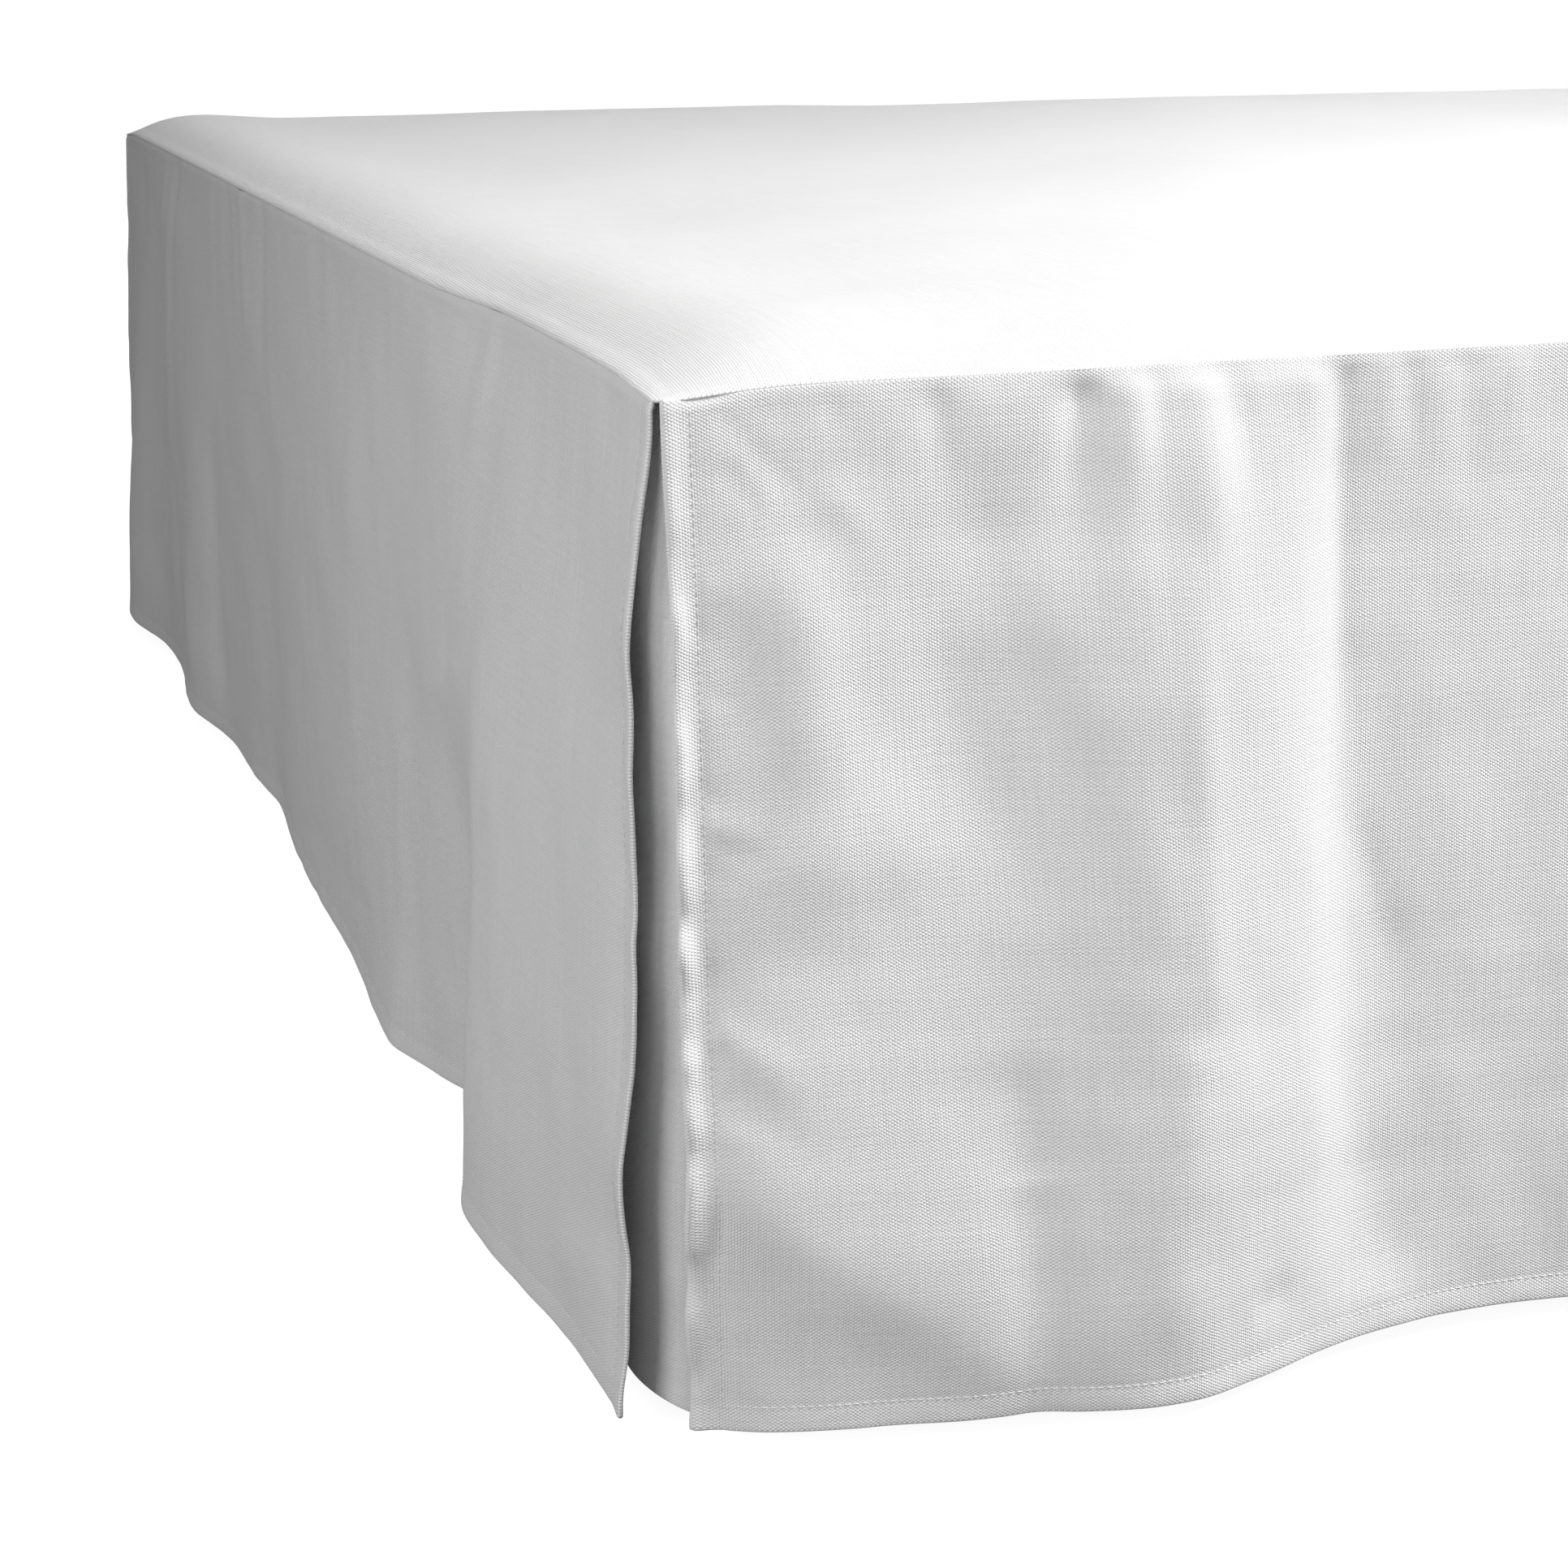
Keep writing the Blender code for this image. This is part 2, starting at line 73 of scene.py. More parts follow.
# ---- sizes that the solids share ----
CORNER_RADIUS = 0.006
CAD_CLOTH = 0.0016
CAD_GAP = 0.0004           # between an underlay and the cloths over it
SPLIT_SIDE = 0.0045        # where a side panel starts, along its side from the foot corner
SPLIT_FOOT = 0.0030        # where the foot panel starts, along its side from the same corner
SEAM_DIP = 0.003           # how far the seams sink at a split corner
SEAM_DIP_REACH = 0.035
SEAM_DRAW = 0.0083         # how much further in the foot's seam is drawn at its farthest
SEAM_DRAW_AT = 0.220
SEAM_DRAW_REACHES = (0.250, 0.075)
DRAW_FADE = 0.100          # how far from the foot the deck and the sides' tops follow that seam
HANG_FADE = 0.50           # share of the drop over which a panel leaves the line of its seam
DECK_CROWN = 0.0160
CROWN_REACH = 0.050
CROWN_START = 0.006
LEVEL_FADE = 0.080         # how far in from its edge the deck loses the dip of the seam
UNDERLAY_REACH = 0.115     # of an underlay, along each side from the corner
UNDERLAY_FLARE = 0.022
UNDERLAY_CORNER = 0.030    # radius of an underlay's turn at the hem
UNDERLAY_TOP_CORNER = 0.022
UNDERLAY_CURVE = 1.5
UNDERLAY_SHORTER = 0.002

# ---- sizes that only the cloth shows ----
RIM = 0.0011               # how far a cloth's rounded rim reaches past its grid
CROWN_SIDE = 0.016         # reach of the deck's rise beside the long edges, near the foot
ROLL_HEIGHT = 1.25         # of the deck's roll along the foot, as a share of the crown
ROLL_REACH = 0.031
ROLL_POWER = 1.2
ROLL_FADE = 0.150          # how far from the foot the roll passes into the crown
ROLL_CORNER = (0.4, 0.14)  # how much longer the roll's reach is by the near corner, and how far along
DECK_RIDGE = (0.0003, 0.0045, 0.0030)    # height, distance from the edge and reach of a low ridge
DECK_TURNED = (0.0011, 0.0022)           # how far the deck's edge turns down, and over what
SPLIT_SHUT = (0.0018, 0.050, 0.012)      # how far a split's top is drawn shut; its reach down, along
SIDE_TUCK = (0.0002, 0.0010, 0.020, 0.009)    # how far a side's top turns in; how much more, where, its reach
FOOT_TUCK = 0.0008
TUCK_REACH = 0.0016
SIDE_RAISED = 0.0006       # how much higher a side's top is set than in the solid
SIDE_SHAPED = (-0.0015, 0.0110)          # depth at which a side's folds begin, and over what they grow
HEM_FALL = (0.0075, 0.0085)              # how far before its stitching a hem starts to fall, over what
HEM_GROOVE = (0.00013, 0.0004, 0.0015)   # depth of the stitched groove, its place past the stitching, reach
HEM_UNEVEN = 0.22
HEM_INSIDE = 0.8           # how much of a hem's lift shows on the inside
HEM_ROLL_PLACE = (0.0014, 0.0042)        # of a side hem's roll: its distance from the edge, its reach
HEM_ROLL_GROWN = (0.5, 1.4, 0.5)         # its share at the seam, what it gains, over what share of the drop
HEM_ROLL_SHRUNK = (0.45, 0.75)           # what it loses again, from what share of the drop
NEAR_HEM_ROLL, FAR_HEM_ROLL, FOOT_HEM_ROLL = 0.0024, 0.0010, 0.0003
SEWN_ENDS = (0.003, 0.002)               # how far stitching stays from a cloth's top and its edges
SEWN_DEPTHS, SEWN_STEP = 120, 0.006      # places at which its line is read: down a hem, along a hem
STITCH_SHOWN = 0.74        # share of a stitch's length that is thread and not gap
STITCH_RINGS, STITCH_SIDES = 5, 5
STITCH_TAPER = 0.96        # how much of a stitch's squared radius is lost at its ends
STITCH_LIFT = (0.05, 0.35)               # its middle's height and what its ends sink, in threads
STITCH_RAISED = 0.1        # how far up a hem's lift its stitching lies
UNDERLAY_HEM = 0.5         # an underlay's hem lift, as a share of the panels'
RIM_STEPS = 5

# Seed, longest wave, shortest wave and height of each cloth's slight unevenness.
UNEVEN = {
    "deck": (41, 0.45, 0.10, 0.0007),
    "side_panel_near": (21, 0.09, 0.022, 0.00020),
    "side_panel_far": (22, 0.09, 0.022, 0.00020),
    "foot_panel": (23, 0.10, 0.024, 0.00022),
    "underlay": (57, 0.09, 0.03, 0.0003),
    "hem": (77, 0.05, 0.012, 1.0),
}
UNEVEN_FROM = 0.01         # depth by which a panel's unevenness is full
UNDERLAY_WAVES = (0.2, 0.02)             # an underlay's length as its waves see it, the depth that fills them

# Folds, as in the solids.  Each row: u of the crest at the seam, u of it at the hem, reach on its
# low-u side, reach on its high-u side, height (out is positive), and the shares of the drop at
# which it starts, is full and, unless it runs on to the hem, begins to fade and has gone.
NEAR_FLARE = 0.030
NEAR_PULL = (-0.018, 0.022)
NEAR_FOLDS = (
    (0.205, 0.190, 0.060, 0.050, 0.008, -0.05, 0.12),
    (0.205, 0.188, 0.130, 0.085, 0.020, 0.00, 1.00),
    (0.262, 0.290, 0.022, 0.030, -0.004, -0.05, 0.12, 0.6, 1.0),
    (0.150, 0.020, 0.030, 0.030, -0.005, 0.02, 0.15, 0.40, 0.65),
    (0.138, 0.138, 0.018, 0.030, -0.003, 0.50, 0.85),
    (0.430, 0.440, 0.070, 0.090, 0.016, 0.00, 1.00),
    (0.640, 0.650, 0.100, 0.070, 0.020, 0.00, 1.00),
    (0.860, 0.850, 0.070, 0.110, 0.014, 0.05, 1.00),
    (1.120, 1.130, 0.090, 0.090, 0.022, 0.00, 1.00),
    (1.370, 1.350, 0.100, 0.070, 0.016, 0.05, 1.00),
    (1.580, 1.590, 0.080, 0.100, 0.020, 0.00, 1.00),
    (1.820, 1.810, 0.090, 0.080, 0.018, 0.05, 1.00),
)
FAR_FLARE = 0.030
FAR_PULL = (-0.006, 0.022)
FAR_FOLDS = (
    (0.190, 0.180, 0.100, 0.080, 0.010, 0.00, 1.00),
    (0.390, 0.400, 0.080, 0.100, 0.016, 0.00, 1.00),
    (0.620, 0.610, 0.090, 0.080, 0.020, 0.05, 1.00),
    (0.900, 0.910, 0.110, 0.080, 0.018, 0.00, 1.00),
    (1.150, 1.140, 0.080, 0.100, 0.022, 0.00, 1.00),
    (1.420, 1.430, 0.100, 0.090, 0.015, 0.05, 1.00),
    (1.700, 1.690, 0.090, 0.110, 0.021, 0.00, 1.00),
)
FOOT_FLARE = 0.010
FOOT_EDGE_LEAN = (0.0045, 0.030)
FOOT_FOLDS = (
    (0.175, 0.185, 0.100, 0.045, 0.017, -0.10, 1.00),
    (0.262, 0.290, 0.045, 0.045, -0.020, 0.30, 1.00),
    (0.392, 0.392, 0.028, 0.100, 0.009, 0.10, 1.00),
    (0.620, 0.620, 0.120, 0.120, 0.003, 0.10, 1.00),
    (0.805, 0.805, 0.060, 0.050, -0.005, 0.10, 1.00),
    (1.065, 1.065, 0.070, 0.080, 0.015, 0.00, 1.00),
    (1.365, 1.365, 0.090, 0.100, 0.025, 0.00, 1.00),
)

# Softer swells that only the cloth shows, in the same columns.
NEAR_SWELLS = (
    (0.212, 0.196, 0.044, 0.038, 0.0080, 0.00, 0.36, 0.66, 1.02),
    (0.249, 0.252, 0.026, 0.018, 0.0044, 0.00, 0.26, 0.72, 1.06),
    (-0.372, 0.160, 0.044, 0.130, 0.0058, 0.52, 0.84, 0.86, 1.14),
)
FOOT_SWELLS = (
    (0.252, 0.232, 0.085, 0.085, 0.0046, 0.00, 0.12, 0.38, 0.62),
    (0.392, 0.392, 0.040, 0.100, -0.0060, 0.10, 0.60, 0.80, 1.04),
    (0.494, 0.484, 0.110, 0.110, 0.0044, 0.05, 0.30, 0.75, 1.0),
    (1.206, 1.204, 0.120, 0.070, 0.0060, 0.00, 0.15),
)

# ---- creases, in millimetres ----
# Each row: u and s of its first end, u and s of its other end, its width at each end, its height
# (a ridge is positive, a trough negative), and the shares of its length over which it rises at the
# first end and runs out at the other.
MM = 0.001
NEAR_CREASES = (
    # puckers under the seam
    (69, -5, 72, 24, 3.5, 5, -0.45, 0, 0.6),
    (109, -6, 112, 40, 5, 6, -1.1, 0, 0.6),
    (128, -5, 126, 24, 6, 7, 0.5, 0, 0.7),
    (166, -6, 161, 66, 5, 8, -1.6, 0, 0.6),
    (186, -6, 184, 50, 7, 9, 1.5, 0, 0.7),
    (194, -6, 191, 92, 5, 9, -1.7, 0, 0.7),
    (211, -6, 214, 112, 7, 10, 1.9, 0, 0.6),
    (222, -6, 234, 72, 6, 9, -1.5, 0, 0.7),
    (256, -6, 257, 40, 5, 8, 1.0, 0, 0.6),
    (270, -6, 272, 170, 5, 8, -1.7, 0, 0.4),
    (289, -6, 289, 60, 6, 8, 0.9, 0, 0.6),
    (299, -6, 301, 48, 5, 7, -0.9, 0, 0.6),
    (322, -6, 326, 70, 6, 8, -1.0, 0, 0.6),
    (345, -6, 342, 50, 7, 8, 0.9, 0, 0.6),
    # the broad crest beside the bright fold, and its sharp left edge
    (254, -10, 253, 110, 13, 18, 2.6, 0.1, 0.6),
    (204, 56, 204, 238, 7, 7, 1.1, 0.2, 0.15),
    (198, 236, 182, 366, 8, 12, 1.1, 0.1, 0.3),
    (274, 162, 304, 252, 8, 10, -1.2, 0.3, 0.4),
    (290, 285, 290, 372, 22, 22, -2.2, 0.4, 0.3),
    # the valley on its left, which slants down to the split, and the upright one below
    (168, -8, 162, 96, 13, 20, -3.4, 0.2, 0.6),
    (150, 70, 118, 250, 26, 30, -2.8, 0.5, 0.6),
    (34, 178, 132, 154, 30, 30, 3.4, 0.4, 0.45),
    (128, 236, 136, 290, 9, 10, -1.1, 0.4, 0.1),
    (136, 280, 139, 385, 9, 11, -1.4, 0.25, 0),
    # the dent beside the split, its ridge and the slanting pulls round it
    (58, 46, 57, 150, 15, 17, 3.0, 0.35, 0.35),
    (28, 66, 32, 130, 10, 10, -0.9, 0.35, 0.3),
    (22, 3, 64, 46, 4, 5, -0.6, 0.1, 0.5),
    (25, 22, 42, 46, 3.5, 4, -0.5, 0.2, 0.5),
    (62, 30, 96, 66, 6, 7, 0.5, 0.3, 0.5),
    (14, 147, 40, 157, 4, 6, 0.6, 0.1, 0.6),
    (16, 156, 44, 166, 4, 6, -0.6, 0.1, 0.6),
    (14, 222, 60, 256, 6, 9, 1.0, 0.1, 0.6),
    (16, 246, 60, 276, 6, 9, -0.7, 0.1, 0.6),
    # a dimple above the hem
    (222, 352, 246, 346, 7, 7, -0.8, 0.3, 0.4),
)
FOOT_CREASES = (
    # puckers under the seam
    (60, -5, 62, 28, 6, 7, -0.5, 0, 0.6),
    (240, -5, 236, 60, 12, 14, 0.8, 0, 0.6),
    (360, -5, 364, 70, 14, 16, -0.6, 0, 0.6),
    (610, -5, 616, 80, 14, 18, -0.8, 0, 0.6),
    (803, -6, 816, 130, 13, 18, -1.9, 0, 0.5),
    (886, -6, 852, 124, 12, 15, 1.4, 0, 0.5),
    (945, -6, 942, 110, 14, 16, -0.9, 0, 0.6),
    (1010, -6, 1030, 130, 14, 18, 0.8, 0, 0.6),
    (1190, -6, 1180, 130, 12, 18, -1.5, 0, 0.6),
    (1250, -6, 1256, 110, 12, 14, 0.9, 0, 0.6),
    (1400, -6, 1390, 110, 14, 16, -1.0, 0, 0.6),
    # the edge of the first fold, and the crests beyond it
    (251, 8, 240, 150, 15, 17, 1.0, 0.2, 0.4),
    (495, 50, 488, 300, 18, 20, 0.9, 0.2, 0.4),
    (1206, 30, 1205, 376, 16, 20, 1.3, 0.2, 0.2),
    (1012, 150, 984, 374, 15, 17, -2.4, 0.25, 0.2),
    (1070, 250, 1186, 286, 7, 8, -0.9, 0.2, 0.4),
    # slanting pulls
    (240, 150, 340, 188, 7, 9, 0.9, 0.15, 0.4),
    (700, 150, 780, 240, 16, 18, 0.7, 0.4, 0.4),
    (580, 330, 720, 366, 9, 11, -0.9, 0.3, 0.3),
    (430, 332, 560, 344, 9, 10, -0.8, 0.3, 0.4),
    (1225, 200, 1190, 260, 14, 16, -1.2, 0.4, 0.4),
    (16, 330, 90, 352, 9, 12, 0.8, 0.2, 0.5),
    (30, 250, 80, 290, 9, 12, -0.6, 0.3, 0.5),
    # how the free edge stands out, draws in and stands out again
    (4, 0, 4, 122, 32, 32, 3.3, 0.5, 0.35),
    (4, 122, 4, 282, 22, 22, -4.6, 0.35, 0.35),
    (4, 284, 4, 376, 20, 20, -2.4, 0.4, 0.3),
)
# Short pulls that the stitching of a side hem draws into the cloth: first s, last s, how many,
# and the seed of their kinds.
NEAR_PULLS = (20, 360, 17, 11)
FAR_PULLS = (20, 360, 17, 12)
FOOT_PULLS = (24, 366, 15, 31)
PULL_SHIFT = (-7, 7)       # of a pull from its even place
PULL_REACH = (12, 26)      # along, and the next one down
PULL_DROP = (4, 18)
PULL_HEIGHT = (-0.55, 0.55)
PULL_START = (7, 11)       # from the cloth's edge
PULL_WIDTHS = (2.6, 4.5)   # at its two ends
PULL_ENDS = (0.15, 0.7)    # shares over which it rises and runs out

# Columns and rows of the cloth grids: (from, to, step), in metres.
NEAR_COLUMNS = ((SPLIT_SIDE + RIM, 0.022, 0.0011), (0.022, 0.370, 0.0029), (0.370, 2.008, 0.028),
                (2.008, BED_LENGTH - CORNER_RADIUS, 0.0016))
FAR_COLUMNS = ((SPLIT_SIDE + RIM, 0.022, 0.0016), (0.022, 2.008, 0.012),
               (2.008, BED_LENGTH - CORNER_RADIUS, 0.0016))
FOOT_COLUMNS = ((SPLIT_FOOT + RIM, 0.028, 0.0011), (0.028, 0.450, 0.0030),
                (0.450, BED_WIDTH - 0.028, 0.0078),
                (BED_WIDTH - 0.028, BED_WIDTH - SPLIT_FOOT - RIM, 0.0014))
NEAR_ROWS = ((0.0, 0.006, 0.0010), (0.006, 0.060, 0.0027), (0.060, 0.362, 0.0035),
             (0.362, DROP - RIM, 0.0012))
FOOT_ROWS = ((0.0, 0.006, 0.0012), (0.006, 0.363, 0.0042), (0.363, DROP - RIM, 0.0014))
FAR_ROWS = ((0.0, 0.006, 0.0015), (0.006, 0.363, 0.0100), (0.363, DROP - RIM, 0.0014))
UNDERLAY_COLUMNS = 64
DECK_EDGE = ((RIM / 2, 0.012, 0.0008), (0.012, 0.045, 0.0030), (0.045, 0.120, 0.0060), (0.120, 0.400, 0.0110))
DECK_STEP = 0.030

# ---- camera: solved from the photograph's seams and hems, from the ideal near corner ----
CAMERA_FROM_CORNER = (-0.2494, -0.8688, 0.1398)
CAMERA_YAW = math.radians(19.273)      # of the view, from +Y towards +X
CAMERA_PITCH = math.radians(16.946)    # below the horizon
CAMERA_ROLL = math.radians(-0.161)
CAMERA_FOCAL = 3354.0                  # in pixels of the photograph
PHOTO_WIDTH = 1932.0
SENSOR = 36.0

# ---- lights: place and target from the near corner at the seam, and width and height ----
LIGHTS = {
    "key": ((1.92, -0.60, 1.60), (0.2, 0.1, -0.1), (0.9, 1.1)),
    "left": ((-1.4, -0.35, 0.32), (0.0, 0.3, -0.15), (1.0, 1.0)),
    "front": ((0.2, -1.8, 0.4), (0.2, 0.0, -0.1), (1.0, 1.0)),
    "back": ((3.2, 4.6, 0.35), (1.2, 1.5, -0.2), (1.5, 1.2)),
    "split": ((-0.25, -0.29, -0.05), (0.008, 0.008, -0.05), (0.11, 0.11)),
}
SPLIT_SPREAD = math.radians(66)        # of the split light's beam
FLOOR_REACH = 60.0


# ---- what a user would change ----
def length_setting(label, description, default):
    return bpy.props.FloatProperty(name=label, description=description, default=default, unit="LENGTH")


def power_setting(label, description, default):
    return bpy.props.FloatProperty(
        name=label, description=description, default=default, min=0, unit="POWER")


def colour_setting(label, description, default):
    return bpy.props.FloatVectorProperty(
        name=label, description=description, default=default, subtype="COLOR", size=3)


class BedSkirtCloth(bpy.types.PropertyGroup):
    thickness: length_setting("Thickness", "Thickness of the canvas", 0.0011)
    hem: length_setting("Hem", "Width of every hem", 0.0102)
    hem_lift: length_setting("Hem lift", "How far a hem's folded layers raise its face", 0.0004)
    stitch: length_setting("Stitch", "Length of one machine stitch with its gap", 0.0034)
    thread: length_setting("Thread", "Thickness of the sewing thread", 0.0004)
    across: length_setting("Weave across", "Distance from one warp thread to the next", 0.00104)
    down: length_setting("Weave down", "Height of one repeat of the weave", 0.00124)
    relief: length_setting("Relief", "Depth of the weave", 0.00034)
    colour: colour_setting("Cloth", "Colour of the threads", (0.86, 0.86, 0.86))
    # painted shade: the darker colour that the hollows between the threads get, standing in for their shade
    painted_shade: colour_setting("Between threads", "Colour between the threads", (0.66, 0.66, 0.66))
    roughness: bpy.props.FloatProperty(
        name="Roughness", description="Roughness of the threads", default=0.78, min=0, max=1,
        subtype="FACTOR")


class BedSkirtBase(bpy.types.PropertyGroup):
    ticking: colour_setting("Ticking", "Colour of the base's cover", (0.60, 0.58, 0.55))
    # painted shade: the darker colour between the cover's threads stands in for their shade
    ticking_painted_shade: colour_setting("Ticking shade", "Colour between the cover's threads", (0.42, 0.40, 0.37))
    wood: colour_setting("Wood", "Colour of the legs", (0.20, 0.105, 0.055))
    grain: colour_setting("Grain", "Colour of the legs' grain", (0.075, 0.036, 0.018))


class BedSkirtStudio(bpy.types.PropertyGroup):
    floor: colour_setting("Floor", "Colour of the floor", (0.5, 0.5, 0.5))
    ambient: bpy.props.FloatProperty(
        name="Ambient", description="Strength of the light from all round", default=0.22, min=0)
    key: power_setting("Key", "Power of the light at the right", 95.0)
    left: power_setting("Left", "Power of the fill light at the left", 13.6)
    front: power_setting("Front", "Power of the fill light in front", 8.0)
    back: power_setting("Back", "Power of the fill light behind", 80.0)
    split: power_setting("Split", "Power of the small light that reaches only the underlays", 0.08)


def cloth_settings():
    return bpy.context.scene.bed_skirt_cloth


# ---- small helpers ----
def smooth(value):
    """Soft step from 0 to 1 over 0..1: 3v^2 - 2v^3."""
    value = np.clip(value, 0.0, 1.0)
    return value * value * (3.0 - 2.0 * value)


def bell(value):
    """A soft bump: e to the minus value squared."""
    return np.exp(-value * value)


def spaced(rows):
    """Values from a table of (from, to, step), each stretch evenly divided."""
    parts = [np.array([rows[0][0]])]
    for start, stop, step in rows:
        count = max(1, round((stop - start) / step))
        parts.append(start + (stop - start) * np.arange(1, count + 1) / count)
    return np.concatenate(parts)


def unevenness(x, y, seed, longest, shortest, height):
    """Sum of cosine waves in seeded directions, each as high as it is long, scaled to height."""
    random = np.random.default_rng(seed)
    total = np.zeros(np.broadcast(x, y).shape)
    lengths = np.geomspace(longest, shortest, 14)
    for length in lengths:
        turn, phase = random.uniform(0.0, 2 * np.pi, 2)
        along = x * np.cos(turn) + y * np.sin(turn)
        total += length * np.cos(2 * np.pi * along / length + phase)
    return height * total / np.sqrt((lengths ** 2).sum() / 2)


# ---- shapes ----
def corner_arc(u):
    """How far the rounded corner draws the outline back: R - sqrt(R^2 - (R - u)^2), 0 past R."""
    left = np.clip(CORNER_RADIUS - u, 0.0, None)
    return CORNER_RADIUS - np.sqrt(np.clip(CORNER_RADIUS ** 2 - left ** 2, 0.0, None))


def foot_draw(from_near):
    """How far the foot's seam lies in from the base's edge: a setback and a bell along the foot."""
    reach = np.where(from_near < SEAM_DRAW_AT, *SEAM_DRAW_REACHES)
    return SEAM_SETBACK + SEAM_DRAW * bell((from_near - SEAM_DRAW_AT) / reach)


def drawn_along(from_foot, from_near):
    """How far the deck or a side's top is carried towards the head with that seam."""
    return foot_draw(from_near) * (1.0 - smooth(from_foot / DRAW_FADE))


def seam_level(from_foot, from_near):
    """How far the seam sinks at the split corners: a bell of the distance along the edge."""
    from_corner = np.maximum(from_foot, np.minimum(from_near, BED_WIDTH - from_near))
    return -SEAM_DIP * bell(from_corner / SEAM_DIP_REACH)


def fold_height(u, t, folds):
    """Sum of the folds: a bell across each, times how far it has grown at the share t of the drop."""
    total = np.zeros(np.broadcast(u, t).shape)
    for top, hem, low, high, height, start, full, *end in folds:
        crest = top + (hem - top) * t
        reach = np.where(u < crest, low, high)
        grown = smooth((t - start) / (full - start))
        if end:
            fade, gone = end
            grown = grown * (1.0 - smooth((t - fade) / (gone - fade)))
        total += height * grown * bell((u - crest) / reach)
    return total


def crease_height(u, s, creases):
    """Sum of the creases: a bell across each one's line, times its rise and run-out along it."""
    total = np.zeros(np.broadcast(u, s).shape)
    for row in creases:
        u0, s0, u1, s1, width0, width1, height = (value * MM for value in row[:7])
        rise, run_out = row[7:]
        du, ds = u1 - u0, s1 - s0
        length = math.hypot(du, ds)
        share = ((u - u0) * du + (s - s0) * ds) / length ** 2
        across = ((u - u0) * ds - (s - s0) * du) / length
        width = width0 + (width1 - width0) * np.clip(share, 0.0, 1.0)
        total += height * bell(across / width) * ramp(share, rise) * ramp(1.0 - share, run_out)
    return total


def ramp(share, over):
    """Soft rise over the first part of a line; without one, the line starts in full."""
    return smooth(share / over) if over else 1.0


def side_pulls(table, edge):
    """Crease rows for the short slanting pulls beside a side hem, evenly spaced but uneven in kind."""
    first, last, count, seed = table
    random = np.random.default_rng(seed)
    rows = []
    for s in np.linspace(first, last, count) + random.uniform(*PULL_SHIFT, count):
        reach, drop, height = (random.uniform(*span) for span in (PULL_REACH, PULL_DROP, PULL_HEIGHT))
        start = edge / MM + random.uniform(*PULL_START)
        rows.append((start, s, start + reach, s + drop, *PULL_WIDTHS, height, *PULL_ENDS))
    return tuple(rows)


def hem_lift(from_edge, settings):
    """Height of a hem's face: a level band that falls to its stitching and ends in a groove."""
    past = from_edge - settings.hem
    before, over = HEM_FALL
    deep, aside, reach = HEM_GROOVE
    band = settings.hem_lift * (1.0 - smooth((past + before) / over))
    return band - deep * bell((past - aside) / reach)


def hem_roll(from_edge, t, height):
    """How far a side hem rolls outward by its edge: a bell of the distance from the edge, which
    grows over the upper part of the drop and shrinks again below."""
    first, gain, over = HEM_ROLL_GROWN
    loss, after = HEM_ROLL_SHRUNK
    grown = (first + gain * smooth(t / over)) * (1.0 - loss * smooth((t - after) / (1.0 - after)))
    place, reach = HEM_ROLL_PLACE
    return height * grown * bell((from_edge - place) / reach)


def seam_tuck(s, deep):
    """How far a panel's top edge turns in under the deck's: a bell of the depth."""
    return deep * bell(s / TUCK_REACH)


def panel_up(level, t, hem=0.0):
    """Height of a panel's point: just under the seam at the top, a level hem at the bottom."""
    top = SEAM_Z - CAD_CLOTH / 2 + level
    return top + (HEM_Z + hem - top) * t


def side_surface(u, s, node, from_near, flare, pull, folds, creases):
    """Outer face of a long side, as (along, out, up): flare times depth, the draw at the split,
    the folds, the creases and a slight unevenness, less the rounded corner at the top.  The top
    of the split is drawn shut."""
    t = s / DROP
    closed, down, along = SPLIT_SHUT
    shut = closed * bell(s / down) * np.exp(-(u - SPLIT_SIDE) / along)
    held = corner_arc(u - shut) * (1.0 - smooth(t / HANG_FADE))
    drawn = pull[0] * t * np.exp(-(u - SPLIT_SIDE) / pull[1])
    deep, deeper, place, reach = SIDE_TUCK
    tuck = deep + deeper * bell((u - place) / reach)
    begin, over = SIDE_SHAPED
    shaped = (fold_height(u, t, folds) + crease_height(u, s, creases)) * smooth((s - begin) / over)
    uneven = unevenness(u, s, *UNEVEN[node]) * smooth(s / UNEVEN_FROM)
    out = flare * t + drawn + shaped + uneven - held - seam_tuck(s, tuck)
    level = seam_level(u, from_near) + SIDE_RAISED
    return u - shut + drawn_along(u, from_near), out, panel_up(level, t)


def foot_surface(u, s, creases):
    """Outer face of the foot panel, as (along, out, up), with a split at both ends."""
    t = s / DROP
    from_end = np.minimum(u, BED_WIDTH - u)
    toward_end = np.where(u < BED_WIDTH / 2, -1.0, 1.0)
    held = (corner_arc(from_end) + foot_draw(u)) * (1.0 - smooth(t / HANG_FADE))
    lean = FOOT_EDGE_LEAN[0] * t * np.exp(-(from_end - SPLIT_FOOT) / FOOT_EDGE_LEAN[1])
    uneven = unevenness(u, s, *UNEVEN["foot_panel"]) * smooth(s / UNEVEN_FROM)
    fine = crease_height(u, s, creases) + uneven
    folded = FOOT_FLARE * t + fold_height(u, t, FOOT_FOLDS + FOOT_SWELLS)
    out = folded + fine - held - seam_tuck(s, FOOT_TUCK)
    return u + toward_end * lean, out, panel_up(seam_level(corner_arc(from_end), u), t)


def place_near(along, out, up):
    return np.stack([along + CENTRE[0] - HALF[0], CENTRE[1] - HALF[1] - out, up], axis=-1)


def place_far(along, out, up):
    return np.stack([along + CENTRE[0] - HALF[0], CENTRE[1] + HALF[1] + out, up], axis=-1)


def place_foot(along, out, up):
    return np.stack([CENTRE[0] - HALF[0] - out, along + CENTRE[1] - HALF[1], up], axis=-1)


